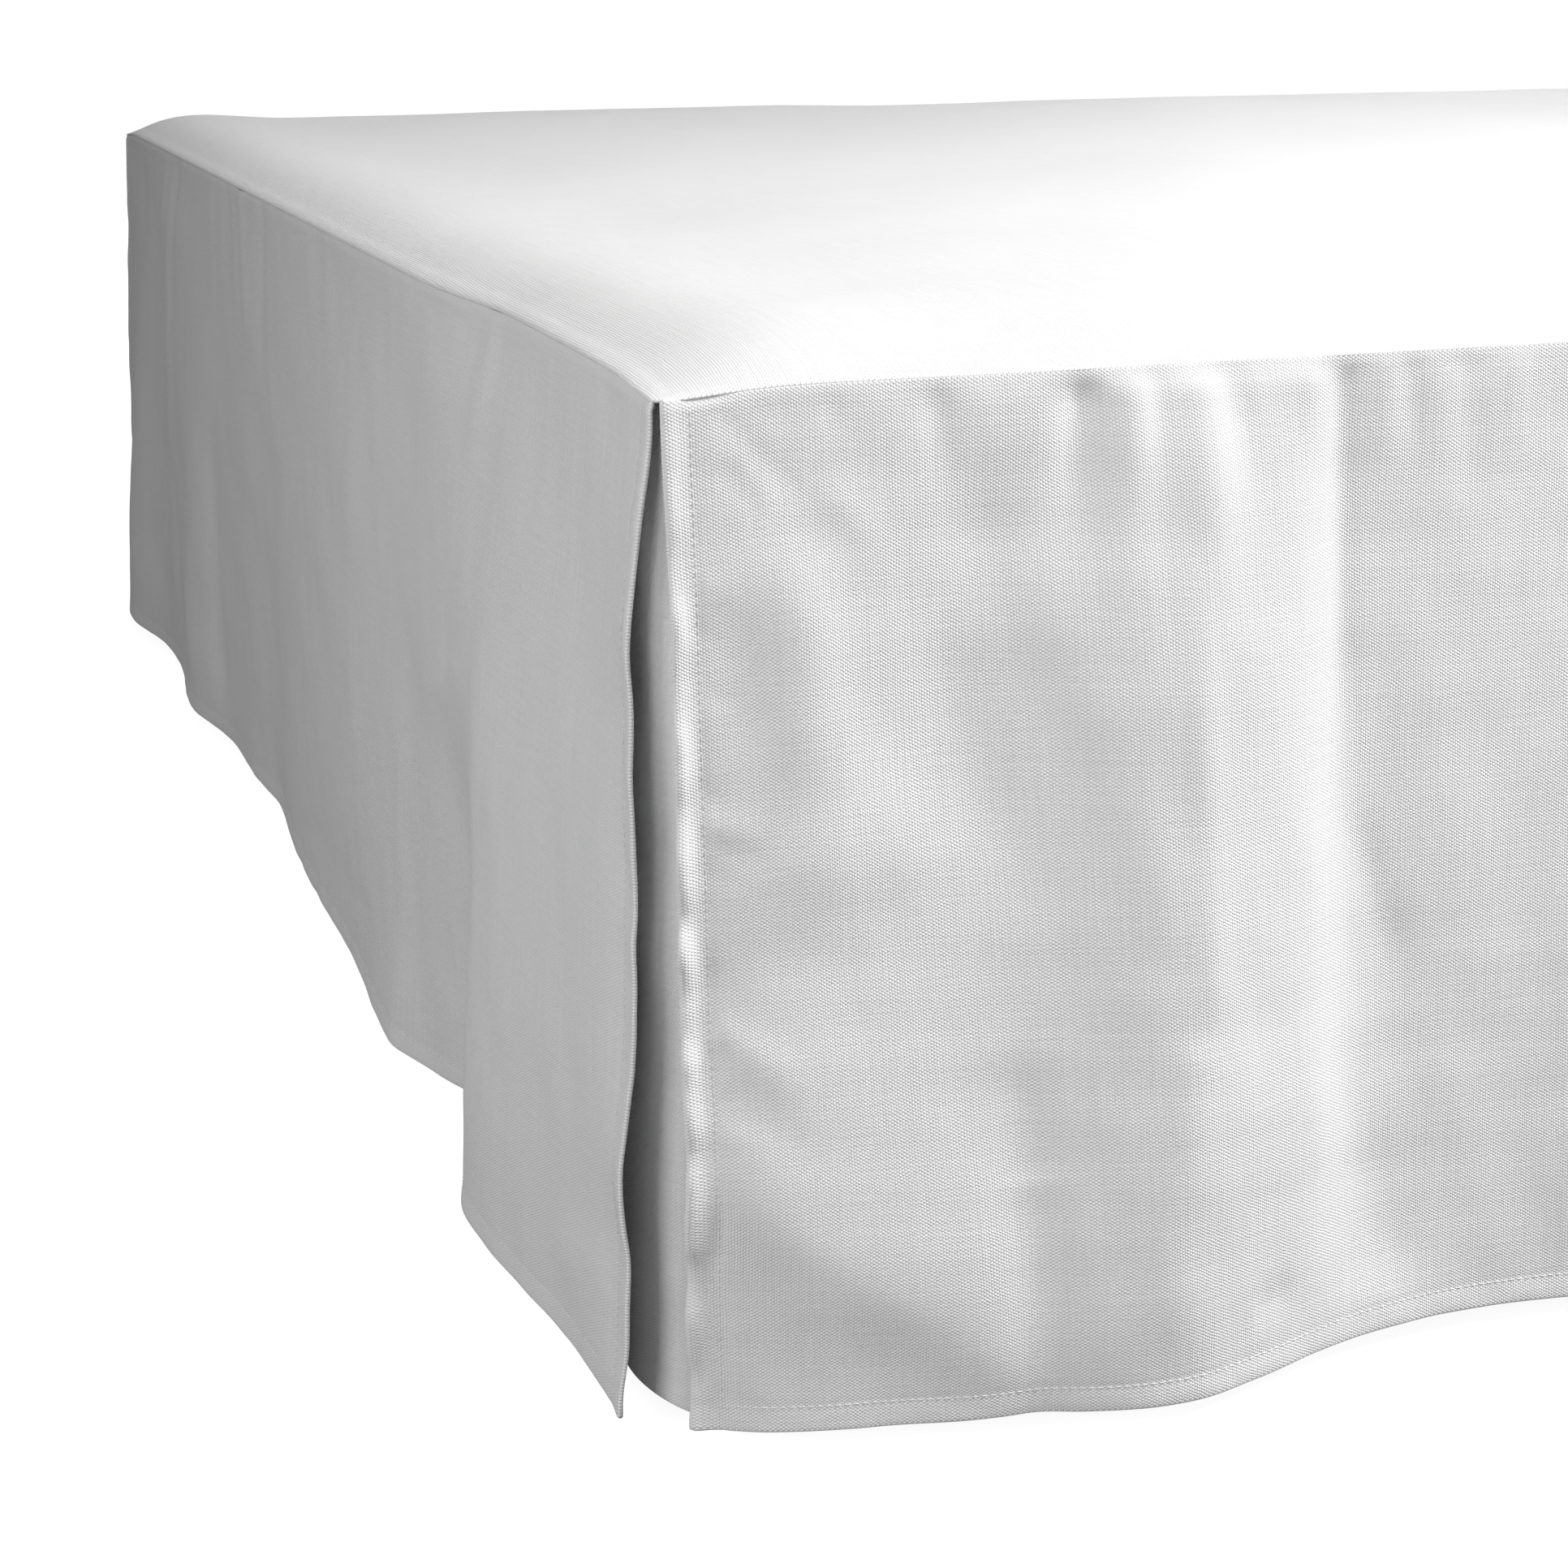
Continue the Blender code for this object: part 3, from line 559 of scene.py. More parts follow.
def face_normals(points, outward):
    """Unit normals of a grid of points, turned to the side of the vector outward."""
    across = np.cross(np.gradient(points, axis=1), np.gradient(points, axis=0))
    across /= np.linalg.norm(across, axis=-1, keepdims=True)
    return across * np.sign((across * outward).sum(axis=-1, keepdims=True))


def deck_surface(x, y):
    """Outer face of the deck over a grid of distances from the foot and near edges.

    The grid's four corner squares are drawn in to quarter discs: a point p from the arc's centre
    goes to p times max(|px|, |py|) / |p|.  The inset of a point within is the distances from the
    two nearest edges, joined to the power of -4.

    Its height is the seam's level, a crown that rises as 1 - e^(-inset / reach), a low ridge beside
    the seam and a turned-down edge.  Along the foot the crown passes into a roll, which rises as
    1 - e^(-(distance / reach)^power) and sinks again to the long edges.
    """
    side = np.stack([x - HALF[0], y - HALF[1]])
    past = np.abs(side) - (HALF - CORNER_RADIUS)[:, None, None]
    in_corner = (past > 0.0).all(axis=0)
    shrink = np.where(in_corner, past.max(axis=0) / np.maximum(np.hypot(*past), 1e-9), 1.0)
    moved = np.where(in_corner, past * shrink, past)
    plan = np.sign(side) * (moved + (HALF - CORNER_RADIUS)[:, None, None])
    outside = np.hypot(*np.clip(moved, 0.0, None))
    within = (np.clip(-moved, 1e-6, None) ** -4.0).sum(axis=0) ** -0.25
    inset = CORNER_RADIUS - outside + np.where((moved < 0.0).all(axis=0), within, 0.0)
    from_foot, from_near = plan[0] + HALF[0], plan[1] + HALF[1]
    swell = 1.0 - np.exp(-np.clip(inset - CROWN_START, 0.0, None) / CROWN_REACH)
    from_long_edge = np.clip(np.minimum(from_near, BED_WIDTH - from_near), 0.0, None)
    beside = 1.0 - np.exp(-from_long_edge / CROWN_SIDE)
    reach = ROLL_REACH * (1.0 + ROLL_CORNER[0] * bell(from_near / ROLL_CORNER[1]))
    rolled = ROLL_HEIGHT * (1.0 - np.exp(-(np.clip(from_foot, 0.0, None) / reach) ** ROLL_POWER))
    swell = swell + (rolled * beside - swell) * (1.0 - smooth(from_foot / ROLL_FADE))
    level = seam_level(from_foot, from_near) * (1.0 - smooth(inset / LEVEL_FADE))
    height, place, width = DECK_RIDGE
    ridge = height * bell((inset - place) / width)
    deep, over = DECK_TURNED
    turned = deep * (1.0 - np.sqrt(1.0 - np.clip(1.0 - inset / over, 0.0, 1.0) ** 2))
    waves = unevenness(plan[0], plan[1], *UNEVEN["deck"]) * smooth(inset / DRAW_FADE)
    up = SEAM_Z + CAD_CLOTH / 2 + DECK_CROWN * swell + level + ridge - turned + waves
    shift = drawn_along(from_foot, from_near)
    return np.stack([plan[0] + shift + CENTRE[0], plan[1] + CENTRE[1], up], axis=-1), inset


def rounded_corner(w, radius, inset, across):
    """Points and outward directions round one foot corner, from the foot (w = 0) to the side (w = 1).

    The line is UNDERLAY_REACH long on both sides, lies inset within the bed's outline and turns
    on a quarter circle, which takes the middle third of w.
    """
    turn = np.clip(3.0 * w - 1.0, 0.0, 1.0) * np.pi / 2
    facing = np.stack([-np.cos(turn), across * np.sin(turn)], axis=-1)
    straight = UNDERLAY_REACH - inset - radius
    over_foot = straight * np.clip(1.0 - 3.0 * w, 0.0, None)
    over_side = straight * np.clip(3.0 * w - 2.0, 0.0, None)
    centre = np.array([inset + radius - HALF[0], across * (HALF[1] - inset - radius)])
    return centre + radius * facing + np.stack([over_side, -across * over_foot], axis=-1), facing


def underlay_surface(w, s, across):
    """Outer face of a backing strip: w runs from its end on the foot round the corner to its end
    on the side.  Its top follows the foot's drawn-in seam, and by a power of the depth it takes
    the shape of its hem, which flares along the side.
    across is -1 at the near corner and 1 at the far one.
    """
    inset = CAD_CLOTH + CAD_GAP
    top, facing = rounded_corner(w, UNDERLAY_TOP_CORNER, inset, across)
    from_foot = top[..., 0] + HALF[0]
    from_near = top[..., 1] + HALF[1]
    top = top + np.stack([drawn_along(from_foot, from_near), 0.0 * from_foot], axis=-1)
    hem, facing = rounded_corner(w, UNDERLAY_CORNER, inset, across)
    hem = hem + facing * np.array([0.0, UNDERLAY_FLARE])
    t = s / DROP
    plan = top + (hem - top) * (t ** UNDERLAY_CURVE)[..., None]
    waves = unevenness(w * UNDERLAY_WAVES[0], s, *UNEVEN["underlay"]) * smooth(s / UNDERLAY_WAVES[1])
    plan = plan + facing * waves[..., None]
    up = panel_up(seam_level(from_foot, from_near) - CAD_GAP, t, UNDERLAY_SHORTER)
    points = np.concatenate([plan + CENTRE, up[..., None]], axis=-1)
    return points, np.concatenate([facing, 0.0 * up[..., None]], axis=-1)


# ---- meshes ----
def mesh_object(name, points, quads, uv, finish):
    """A smooth-shaded mesh of quads with one UV map, its object at the origin."""
    mesh = bpy.data.meshes.new(name)
    mesh.vertices.add(len(points))
    mesh.vertices.foreach_set("co", points.astype(np.float32).ravel())
    mesh.loops.add(quads.size)
    mesh.loops.foreach_set("vertex_index", quads.astype(np.int32).ravel())
    mesh.polygons.add(len(quads))
    mesh.polygons.foreach_set("loop_start", np.arange(0, quads.size, 4, dtype=np.int32))
    mesh.polygons.foreach_set("use_smooth", np.ones(len(quads), dtype=bool))
    layer = mesh.uv_layers.new(name="cloth")
    layer.data.foreach_set("uv", uv[quads].astype(np.float32).ravel())
    mesh.update(calc_edges=True)
    mesh.validate()
    mesh.materials.append(finish)
    made = bpy.data.objects.new(name, mesh)
    bpy.context.scene.collection.objects.link(made)
    return made


def rim_loop(rows, columns):
    """Row and column indices of a grid's border, in order."""
    top, right = np.arange(columns - 1), np.arange(rows - 1)
    i = np.concatenate([0 * top, right, 0 * top + rows - 1, rows - 1 - right])
    j = np.concatenate([top, 0 * right + columns - 1, columns - 1 - top, 0 * right])
    return i, j


def cloth_shell(name, outer, inner, uv, finish):
    """Closed cloth between two faces given as grids, with a half-round rim.

    A rim point is middle + half * cos(a) + away * sin(a), for a from 0 at the outer face to a
    half turn at the inner one; away points out of the sheet and is as long as half.
    """
    rows, columns = outer.shape[:2]
    grid = np.arange(rows * columns).reshape(rows, columns)
    i, j = rim_loop(rows, columns)
    inside = (np.clip(i, 1, rows - 2), np.clip(j, 1, columns - 2))
    middle, half = (outer + inner) / 2, (outer - inner) / 2
    away = middle[i, j] - middle[inside]
    edge_half = half[i, j]
    size = np.linalg.norm(edge_half, axis=-1, keepdims=True)
    away -= edge_half * (away * edge_half).sum(axis=-1, keepdims=True) / size ** 2
    away *= size / np.linalg.norm(away, axis=-1, keepdims=True)
    angle = np.pi * np.arange(1, RIM_STEPS + 1)[:, None, None] / (RIM_STEPS + 1)
    rim = middle[i, j] + edge_half * np.cos(angle) + away * np.sin(angle)
    count = rows * columns
    points = np.concatenate([outer.reshape(-1, 3), inner.reshape(-1, 3), rim.reshape(-1, 3)])
    rings = np.concatenate([grid[i, j][None, :],
                            2 * count + np.arange(RIM_STEPS * len(i)).reshape(RIM_STEPS, -1),
                            count + grid[i, j][None, :]])
    face = np.stack([grid[:-1, :-1], grid[:-1, 1:], grid[1:, 1:], grid[1:, :-1]], axis=-1).reshape(-1, 4)
    nxt = np.roll(rings, -1, axis=1)
    sides = np.stack([nxt[:-1], rings[:-1], rings[1:], nxt[1:]], axis=-1).reshape(-1, 4)
    quads = np.concatenate([face, face[:, ::-1] + count, sides])
    first = outer[:2, :2]
    turned = np.cross(first[0, 1] - first[0, 0], first[1, 0] - first[0, 0]) @ half[0, 0]
    if turned < 0.0:
        quads = quads[:, ::-1]
    flat = uv.reshape(-1, 2)
    rim_uv = np.tile(uv[i, j], (RIM_STEPS, 1))
    return mesh_object(name, points, quads, np.concatenate([flat, flat, rim_uv]), finish)


def hang(piece, node):
    """Attach a finished cloth to its body and hide the solid node that it stands for."""
    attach(piece, BODY)
    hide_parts(node)


def stitch_row(points, normals, settings):
    """Points and quads of one row of stitches along a line of points.

    The line is read at even steps of arc length.  Each stitch is a spindle whose radius is the
    thread's times sqrt(1 - taper share^2), for a share that runs from -1 to 1 along it, and its
    ends sink into the cloth with the share's square.
    """
    steps = np.linalg.norm(np.diff(points, axis=0), axis=1)
    along = np.concatenate([[0.0], np.cumsum(steps)])
    count = int(along[-1] / settings.stitch)
    length = STITCH_SHOWN * settings.stitch
    centres = (np.arange(count) + 0.5) * settings.stitch

    def read(table, at):
        return np.stack([np.interp(at, along, table[:, k]) for k in range(3)], axis=-1)

    normal = read(normals, centres)
    normal /= np.linalg.norm(normal, axis=-1, keepdims=True)
    direction = read(points, centres + length / 2) - read(points, centres - length / 2)
    direction /= np.maximum(np.linalg.norm(direction, axis=-1, keepdims=True), 1e-9)
    side = np.cross(normal, direction)
    share = np.linspace(-1.0, 1.0, STITCH_RINGS)
    radius = settings.thread / 2 * np.sqrt(1.0 - share ** 2 * STITCH_TAPER)
    lift = settings.thread * (STITCH_LIFT[0] - STITCH_LIFT[1] * share ** 2)
    turn = np.linspace(0.0, 2 * np.pi, STITCH_SIDES, endpoint=False)
    ring = (np.cos(turn)[:, None, None] * normal + np.sin(turn)[:, None, None] * side)
    spots = (read(points, centres)[None, None] + direction * (share * length / 2)[:, None, None, None]
             + normal * lift[:, None, None, None] + ring[None] * radius[:, None, None, None])
    spots = np.moveaxis(spots, 2, 0)
    index = np.arange(STITCH_RINGS * STITCH_SIDES).reshape(STITCH_RINGS, STITCH_SIDES)
    nxt = np.roll(index, -1, axis=1)
    walls = np.stack([index[:-1], nxt[:-1], nxt[1:], index[1:]], axis=-1).reshape(-1, 4)
    base = index.size * np.arange(count)[:, None, None]
    return spots.reshape(-1, 3), (walls[None] + base).reshape(-1, 4)


def sew(name, rows, finish, settings):
    """One joined mesh of all the stitch rows of a cloth."""
    points, quads, start = [], [], 0
    for line, normals in rows:
        spots, walls = stitch_row(line, normals, settings)
        points.append(spots)
        quads.append(walls + start)
        start += len(spots)
    points, quads = np.concatenate(points), np.concatenate(quads)
    piece = mesh_object(name, points, quads, points[:, :2] * 0.0, finish)
    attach(piece, BODY)
    return piece


# ---- finishes ----
def node_group(name, inputs, outputs):
    """A new shader node group with its named sockets: (name, type, default)."""
    group = bpy.data.node_groups.new(name, "ShaderNodeTree")
    for label, kind, default in inputs:
        socket = group.interface.new_socket(name=label, in_out="INPUT", socket_type=kind)
        if default is not None:
            socket.default_value = default
    for label, kind in outputs:
        group.interface.new_socket(name=label, in_out="OUTPUT", socket_type=kind)
    return group, group.nodes.new("NodeGroupInput"), group.nodes.new("NodeGroupOutput")


def set_inputs(node, values):
    """Set a node's inputs from a table of their names and constants."""
    for label, value in values.items():
        node.inputs[label].default_value = value


def maths(tree, operation, *values, clamp=False):
    """A Math node fed with sockets or numbers; gives back its output."""
    node = tree.nodes.new("ShaderNodeMath")
    node.operation = operation
    node.use_clamp = clamp
    for slot, value in zip(node.inputs, values):
        if isinstance(value, bpy.types.NodeSocket):
            tree.links.new(value, slot)
        else:
            slot.default_value = value
    return node.outputs[0]


def noise(tree, vector, scale, detail=2.0, roughness=0.5):
    """A noise texture's value at a vector."""
    node = tree.nodes.new("ShaderNodeTexNoise")
    set_inputs(node, {"Scale": scale, "Detail": detail, "Roughness": roughness})
    tree.links.new(vector, node.inputs["Vector"])
    return node.outputs["Fac"]


def stretched(tree, vector, scale):
    """The vector times a scale for each axis."""
    node = tree.nodes.new("ShaderNodeMapping")
    node.inputs["Scale"].default_value = scale
    tree.links.new(vector, node.inputs["Vector"])
    return node.outputs["Vector"]


def weave_group():
    """Plain weave from a place in metres, as Height and Shade; Shade sets the painted shade, darker where the
    height is low, in the hollows between the threads.

    Slow noise first shifts the place by a fraction of a thread.  The thread crossings are
    cos(x) cos(y), which sets every second column half a repeat lower, and cos(2x) parts the
    columns.  Slubs are noise drawn out along each thread.
    """
    found = bpy.data.node_groups.get("plain_weave")
    if found:
        return found
    group, given, result = node_group(
        "plain_weave",
        (("Place", "NodeSocketVector", None), ("Across", "NodeSocketFloat", 0.001),
         ("Down", "NodeSocketFloat", 0.001)),
        (("Height", "NodeSocketFloat"), ("Shade", "NodeSocketFloat")))
    place = given.outputs["Place"]
    apart = group.nodes.new("ShaderNodeSeparateXYZ")
    group.links.new(place, apart.inputs[0])
    drift_x = maths(group, "MULTIPLY", maths(group, "SUBTRACT", noise(group, place, 130.0), 0.5), 0.0012)
    drift_y = maths(group, "MULTIPLY", maths(group, "SUBTRACT", noise(group, place, 170.0), 0.5), 0.0010)
    x = maths(group, "DIVIDE", maths(group, "ADD", apart.outputs[0], drift_x), given.outputs["Across"])
    y = maths(group, "DIVIDE", maths(group, "ADD", apart.outputs[1], drift_y), given.outputs["Down"])
    x = maths(group, "MULTIPLY", x, math.pi)
    y = maths(group, "MULTIPLY", y, 2 * math.pi)
    crossing = maths(group, "MULTIPLY", maths(group, "COSINE", x), maths(group, "COSINE", y))
    column = maths(group, "COSINE", maths(group, "MULTIPLY", x, 2.0))
    height = maths(group, "MULTIPLY_ADD", crossing, 0.32, 0.5)
    height = maths(group, "MULTIPLY_ADD", column, 0.14, height)
    slub_down = noise(group, stretched(group, place, (1.0, 0.02, 1.0)), 900.0, 1.0)
    slub_across = noise(group, stretched(group, place, (0.03, 1.0, 1.0)), 1100.0, 1.0)
    slubs = maths(group, "SUBTRACT", maths(group, "ADD", slub_down, slub_across), 1.0)
    height = maths(group, "MULTIPLY_ADD", slubs, 0.35, height)
    # painted shade: the lower the height, the more of the darker colour, as shade in the hollows between the
    # threads
    painted_shade = maths(group, "MULTIPLY_ADD", height, 1.25, -0.12, clamp=True)
    group.links.new(height, result.inputs["Height"])
    group.links.new(painted_shade, result.inputs["Shade"])
    return group


def blended(tree, share, low, high):
    """A colour from low to high by share."""
    node = tree.nodes.new("ShaderNodeMix")
    node.data_type = "RGBA"
    node.inputs["A"].default_value = (*low, 1.0)
    node.inputs["B"].default_value = (*high, 1.0)
    tree.links.new(share, node.inputs["Factor"])
    return node.outputs["Result"]


def bumped(tree, shader, height, distance):
    """Feed the shader's normal from a height field."""
    node = tree.nodes.new("ShaderNodeBump")
    node.inputs["Distance"].default_value = distance
    tree.links.new(height, node.inputs["Height"])
    tree.links.new(node.outputs["Normal"], shader.inputs["Normal"])


def new_material(name):
    """A material with its tree and shader, or only the material if it is there already."""
    made = bpy.data.materials.get(name)
    if made:
        return made, None, None
    made = bpy.data.materials.new(name)
    made.use_nodes = True
    return made, made.node_tree, made.node_tree.nodes["Principled BSDF"]


def place_weave(tree, place, across, down):
    """The weave group in a material, at a place, with its own pitches."""
    node = tree.nodes.new("ShaderNodeGroup")
    node.node_tree = weave_group()
    set_inputs(node, {"Across": across, "Down": down})
    tree.links.new(place, node.inputs["Place"])
    return node.outputs["Height"], node.outputs["Shade"]


def canvas_finish():
    """White canvas: the weave follows the cloth's UV map, which is in metres, and the hollows between its
    threads get painted shade.
    """
    made, tree, shader = new_material("white_canvas")
    if tree is None:
        return made
    settings = cloth_settings()
    place = tree.nodes.new("ShaderNodeUVMap")
    place.uv_map = "cloth"
    height, painted_shade = place_weave(tree, place.outputs["UV"], settings.across, settings.down)
    # painted shade between the threads, mixed in by the weave's Shade
    tree.links.new(blended(tree, painted_shade, settings.painted_shade, settings.colour), shader.inputs["Base Color"])
    rough = noise(tree, place.outputs["UV"], 60.0, 3.0)
    rough = maths(tree, "MULTIPLY_ADD", rough, 0.16, settings.roughness - 0.08)
    tree.links.new(rough, shader.inputs["Roughness"])
    set_inputs(shader, {"Specular IOR Level": 0.35, "Sheen Weight": 0.12, "Sheen Roughness": 0.5})
    bumped(tree, shader, height, settings.relief)
    return made


def thread_finish():
    """Sewing thread: white, with its twist as slanting bands of painted shade."""
    made, tree, shader = new_material("white_thread")
    if tree is None:
        return made
    place = tree.nodes.new("ShaderNodeTexCoord").outputs["Object"]
    apart = tree.nodes.new("ShaderNodeSeparateXYZ")
    tree.links.new(place, apart.inputs[0])
    slant = maths(tree, "ADD", maths(tree, "ADD", apart.outputs[0], apart.outputs[1]), apart.outputs[2])
    twist = maths(tree, "SINE", maths(tree, "MULTIPLY", slant, 2 * math.pi / 0.0006))
    share = maths(tree, "MULTIPLY_ADD", twist, 0.5, 0.5)
    settings = cloth_settings()
    # painted shade: the grooves of the twist get the darker colour that stands for shade between threads
    tree.links.new(blended(tree, share, settings.painted_shade, settings.colour), shader.inputs["Base Color"])
    shader.inputs["Roughness"].default_value = 0.6
    bumped(tree, shader, share, settings.thread / 8)
    return made


def ticking_finish():
    """The base's cover: plain weave on each wall's own two axes, with painted shade between its threads."""
    made, tree, shader = new_material("base_ticking")
    if tree is None:
        return made
    settings = bpy.context.scene.bed_skirt_base
    place = tree.nodes.new("ShaderNodeTexCoord").outputs["Object"]
    apart = tree.nodes.new("ShaderNodeSeparateXYZ")
    tree.links.new(place, apart.inputs[0])
    facing = tree.nodes.new("ShaderNodeSeparateXYZ")
    tree.links.new(tree.nodes.new("ShaderNodeNewGeometry").outputs["Normal"], facing.inputs[0])
    on_end = maths(tree, "GREATER_THAN", maths(tree, "ABSOLUTE", facing.outputs[0]), 0.7)
    level = maths(tree, "GREATER_THAN", maths(tree, "ABSOLUTE", facing.outputs[2]), 0.7)
    x, y, z = apart.outputs
    across = maths(tree, "ADD", maths(tree, "MULTIPLY", maths(tree, "SUBTRACT", y, x), on_end), x)
    down = maths(tree, "ADD", maths(tree, "MULTIPLY", maths(tree, "SUBTRACT", y, z), level), z)
    spot = tree.nodes.new("ShaderNodeCombineXYZ")
    tree.links.new(across, spot.inputs[0])
    tree.links.new(down, spot.inputs[1])
    height, painted_shade = place_weave(tree, spot.outputs[0], 0.0014, 0.0017)
    # painted shade between the cover's threads, mixed in by the weave's Shade
    tree.links.new(blended(tree, painted_shade, settings.ticking_painted_shade, settings.ticking),
                   shader.inputs["Base Color"])
    shader.inputs["Roughness"].default_value = 0.9
    bumped(tree, shader, height, 0.0003)
    return made


def wood_finish():
    """Dark stained wood: noise drawn out along the leg, with fine pores."""
    made, tree, shader = new_material("stained_wood")
    if tree is None:
        return made
    settings = bpy.context.scene.bed_skirt_base
    place = tree.nodes.new("ShaderNodeTexCoord").outputs["Object"]
    rings = noise(tree, stretched(tree, place, (1.0, 1.0, 0.06)), 150.0, 4.0, 0.6)
    pores = noise(tree, stretched(tree, place, (1.0, 1.0, 0.03)), 900.0)
    share = maths(tree, "MULTIPLY_ADD", rings, 2.2, -0.6, clamp=True)
    share = maths(tree, "MULTIPLY", share, maths(tree, "MULTIPLY_ADD", pores, 0.6, 0.6, clamp=True))
    tree.links.new(blended(tree, share, settings.grain, settings.wood), shader.inputs["Base Color"])
    rough = maths(tree, "MULTIPLY_ADD", pores, 0.2, 0.32)
    tree.links.new(rough, shader.inputs["Roughness"])
    set_inputs(shader, {"Coat Weight": 0.2, "Coat Roughness": 0.3})
    bumped(tree, shader, pores, 0.0002)
    return made


def floor_finish():
    """Pale floor; only the camera sees it pale, so that it doesn't light the cloth from below."""
    made, tree, shader = new_material("pale_floor")
    if tree is None:
        return made
    settings = bpy.context.scene.bed_skirt_studio
    place = tree.nodes.new("ShaderNodeTexCoord").outputs["Object"]
    share = noise(tree, place, 3.0, 3.0)
    low = tuple(0.985 * value for value in settings.floor)
    tree.links.new(blended(tree, share, low, settings.floor), shader.inputs["Base Color"])
    set_inputs(shader, {"Roughness": 0.7, "Specular IOR Level": 0.0,
                        "Emission Color": (1.0, 1.0, 1.0, 1.0), "Emission Strength": 0.9})
    dim = tree.nodes.new("ShaderNodeBsdfDiffuse")
    dim.inputs["Color"].default_value = (0.12, 0.12, 0.12, 1.0)
    seen = tree.nodes.new("ShaderNodeLightPath").outputs["Is Camera Ray"]
    mix = tree.nodes.new("ShaderNodeMixShader")
    tree.links.new(seen, mix.inputs[0])
    tree.links.new(dim.outputs[0], mix.inputs[1])
    tree.links.new(shader.outputs[0], mix.inputs[2])
    tree.links.new(mix.outputs[0], tree.nodes["Material Output"].inputs["Surface"])
    return made


def build_panel(name, node, surface, place, columns, rows, outward, edges, roll):
    """One hanging panel with its hems and their stitching.

    surface gives (along, out, up) at (u, s); edges are the u of its two side edges; roll is how
    far the hem by the first of them rolls outward.
    """
    settings = cloth_settings()
    u, s = np.meshgrid(spaced(columns), spaced(rows))
    bare = place(*surface(u, s))
    normal = face_normals(bare, np.array(outward))
    start, end = edges
    to_start, to_end, to_hem = u - start, end - u, DROP - s
    lift = hem_lift(to_start, settings) + hem_lift(to_end, settings) + hem_lift(to_hem, settings)
    uneven = 1.0 + HEM_UNEVEN * np.clip(unevenness(u, s, *UNEVEN["hem"]), -2.0, 2.0)
    bare = bare + normal * (hem_roll(to_start, s / DROP, roll) * uneven)[..., None]
    outer = bare + normal * (lift * uneven)[..., None]
    past_hem = np.minimum(np.minimum(to_start, to_end), to_hem) - settings.hem
    folded = HEM_INSIDE * settings.hem_lift * smooth(1.0 - past_hem / MM)
    inner = bare - normal * (settings.thickness + folded)[..., None]
    piece = cloth_shell(name, outer, inner, np.stack([u, -s], axis=-1), canvas_finish())

    def line(at_u, at_s):
        """Points and normals along the middle of a narrow strip of the panel."""
        across, down = np.meshgrid(at_u, at_s)
        grid = place(*surface(across, down))
        facing = face_normals(grid, np.array(outward))
        middle = (slice(None), 1) if len(at_u) == 3 else (1, slice(None))
        return grid[middle] + facing[middle] * settings.hem_lift * STITCH_RAISED, facing[middle]

    near_by = MM * np.array([-1.0, 0.0, 1.0])
    from_top, from_edge = SEWN_ENDS
    depths = np.linspace(from_top, DROP - from_edge, SEWN_DEPTHS)
    lengths = np.linspace(start + from_edge, end - from_edge, round((end - start) / SEWN_STEP))
    rows_sewn = [line(start + settings.hem + near_by, depths), line(end - settings.hem + near_by, depths),
                 line(lengths, DROP - settings.hem + near_by)]
    threads = sew(name + "_stitches", rows_sewn, thread_finish(), settings)
    hang(piece, node)


class BEDSKIRT_OT_deck(bpy.types.Operator):
    """Lay the deck cloth over the base, with its turned edge"""
    bl_idname = "bedskirt.deck"
    bl_label = "Deck"

    def execute(self, context):
        settings = cloth_settings()
        edge = spaced(DECK_EDGE)

        def lines(length):
            middle = spaced(((edge[-1], length - edge[-1], DECK_STEP),))
            return np.concatenate([edge[:-1], middle, length - edge[-2::-1]])

        x, y = np.meshgrid(lines(BED_LENGTH), lines(BED_WIDTH))
        outer, inset = deck_surface(x, y)
        inner = outer - face_normals(outer, np.array([0.0, 0.0, 1.0])) * settings.thickness
        plan = outer[..., :2] - CENTRE
        piece = cloth_shell("deck_cloth", outer, inner, plan, canvas_finish())
        hang(piece, "deck")
        return {"FINISHED"}


class BEDSKIRT_OT_side_panels(bpy.types.Operator):
    """Hang the two long side panels in their folds"""
    bl_idname = "bedskirt.side_panels"
    bl_label = "Side panels"

    def execute(self, context):
        edges = (SPLIT_SIDE, BED_LENGTH - CORNER_RADIUS)

        def near(u, s):
            return side_surface(u, s, "side_panel_near", corner_arc(u), NEAR_FLARE, NEAR_PULL,
                                NEAR_FOLDS + NEAR_SWELLS, NEAR_CREASES + side_pulls(NEAR_PULLS, SPLIT_SIDE))

        def far(u, s):
            return side_surface(u, s, "side_panel_far", BED_WIDTH - corner_arc(u), FAR_FLARE, FAR_PULL,
                                FAR_FOLDS, side_pulls(FAR_PULLS, SPLIT_SIDE))

        build_panel("side_cloth_near", "side_panel_near", near, place_near, NEAR_COLUMNS, NEAR_ROWS,
                    (0.0, -1.0, 0.0), edges, NEAR_HEM_ROLL)
        build_panel("side_cloth_far", "side_panel_far", far, place_far, FAR_COLUMNS, FAR_ROWS,
                    (0.0, 1.0, 0.0), edges, FAR_HEM_ROLL)
        return {"FINISHED"}


class BEDSKIRT_OT_foot_panel(bpy.types.Operator):
    """Hang the foot panel between the two split corners"""
    bl_idname = "bedskirt.foot_panel"
    bl_label = "Foot panel"

    def execute(self, context):
        edges = (SPLIT_FOOT, BED_WIDTH - SPLIT_FOOT)

        def surface(u, s):
            return foot_surface(u, s, FOOT_CREASES + side_pulls(FOOT_PULLS, SPLIT_FOOT))

        build_panel("foot_cloth", "foot_panel", surface, place_foot, FOOT_COLUMNS, FOOT_ROWS,
                    (-1.0, 0.0, 0.0), edges, FOOT_HEM_ROLL)
        return {"FINISHED"}


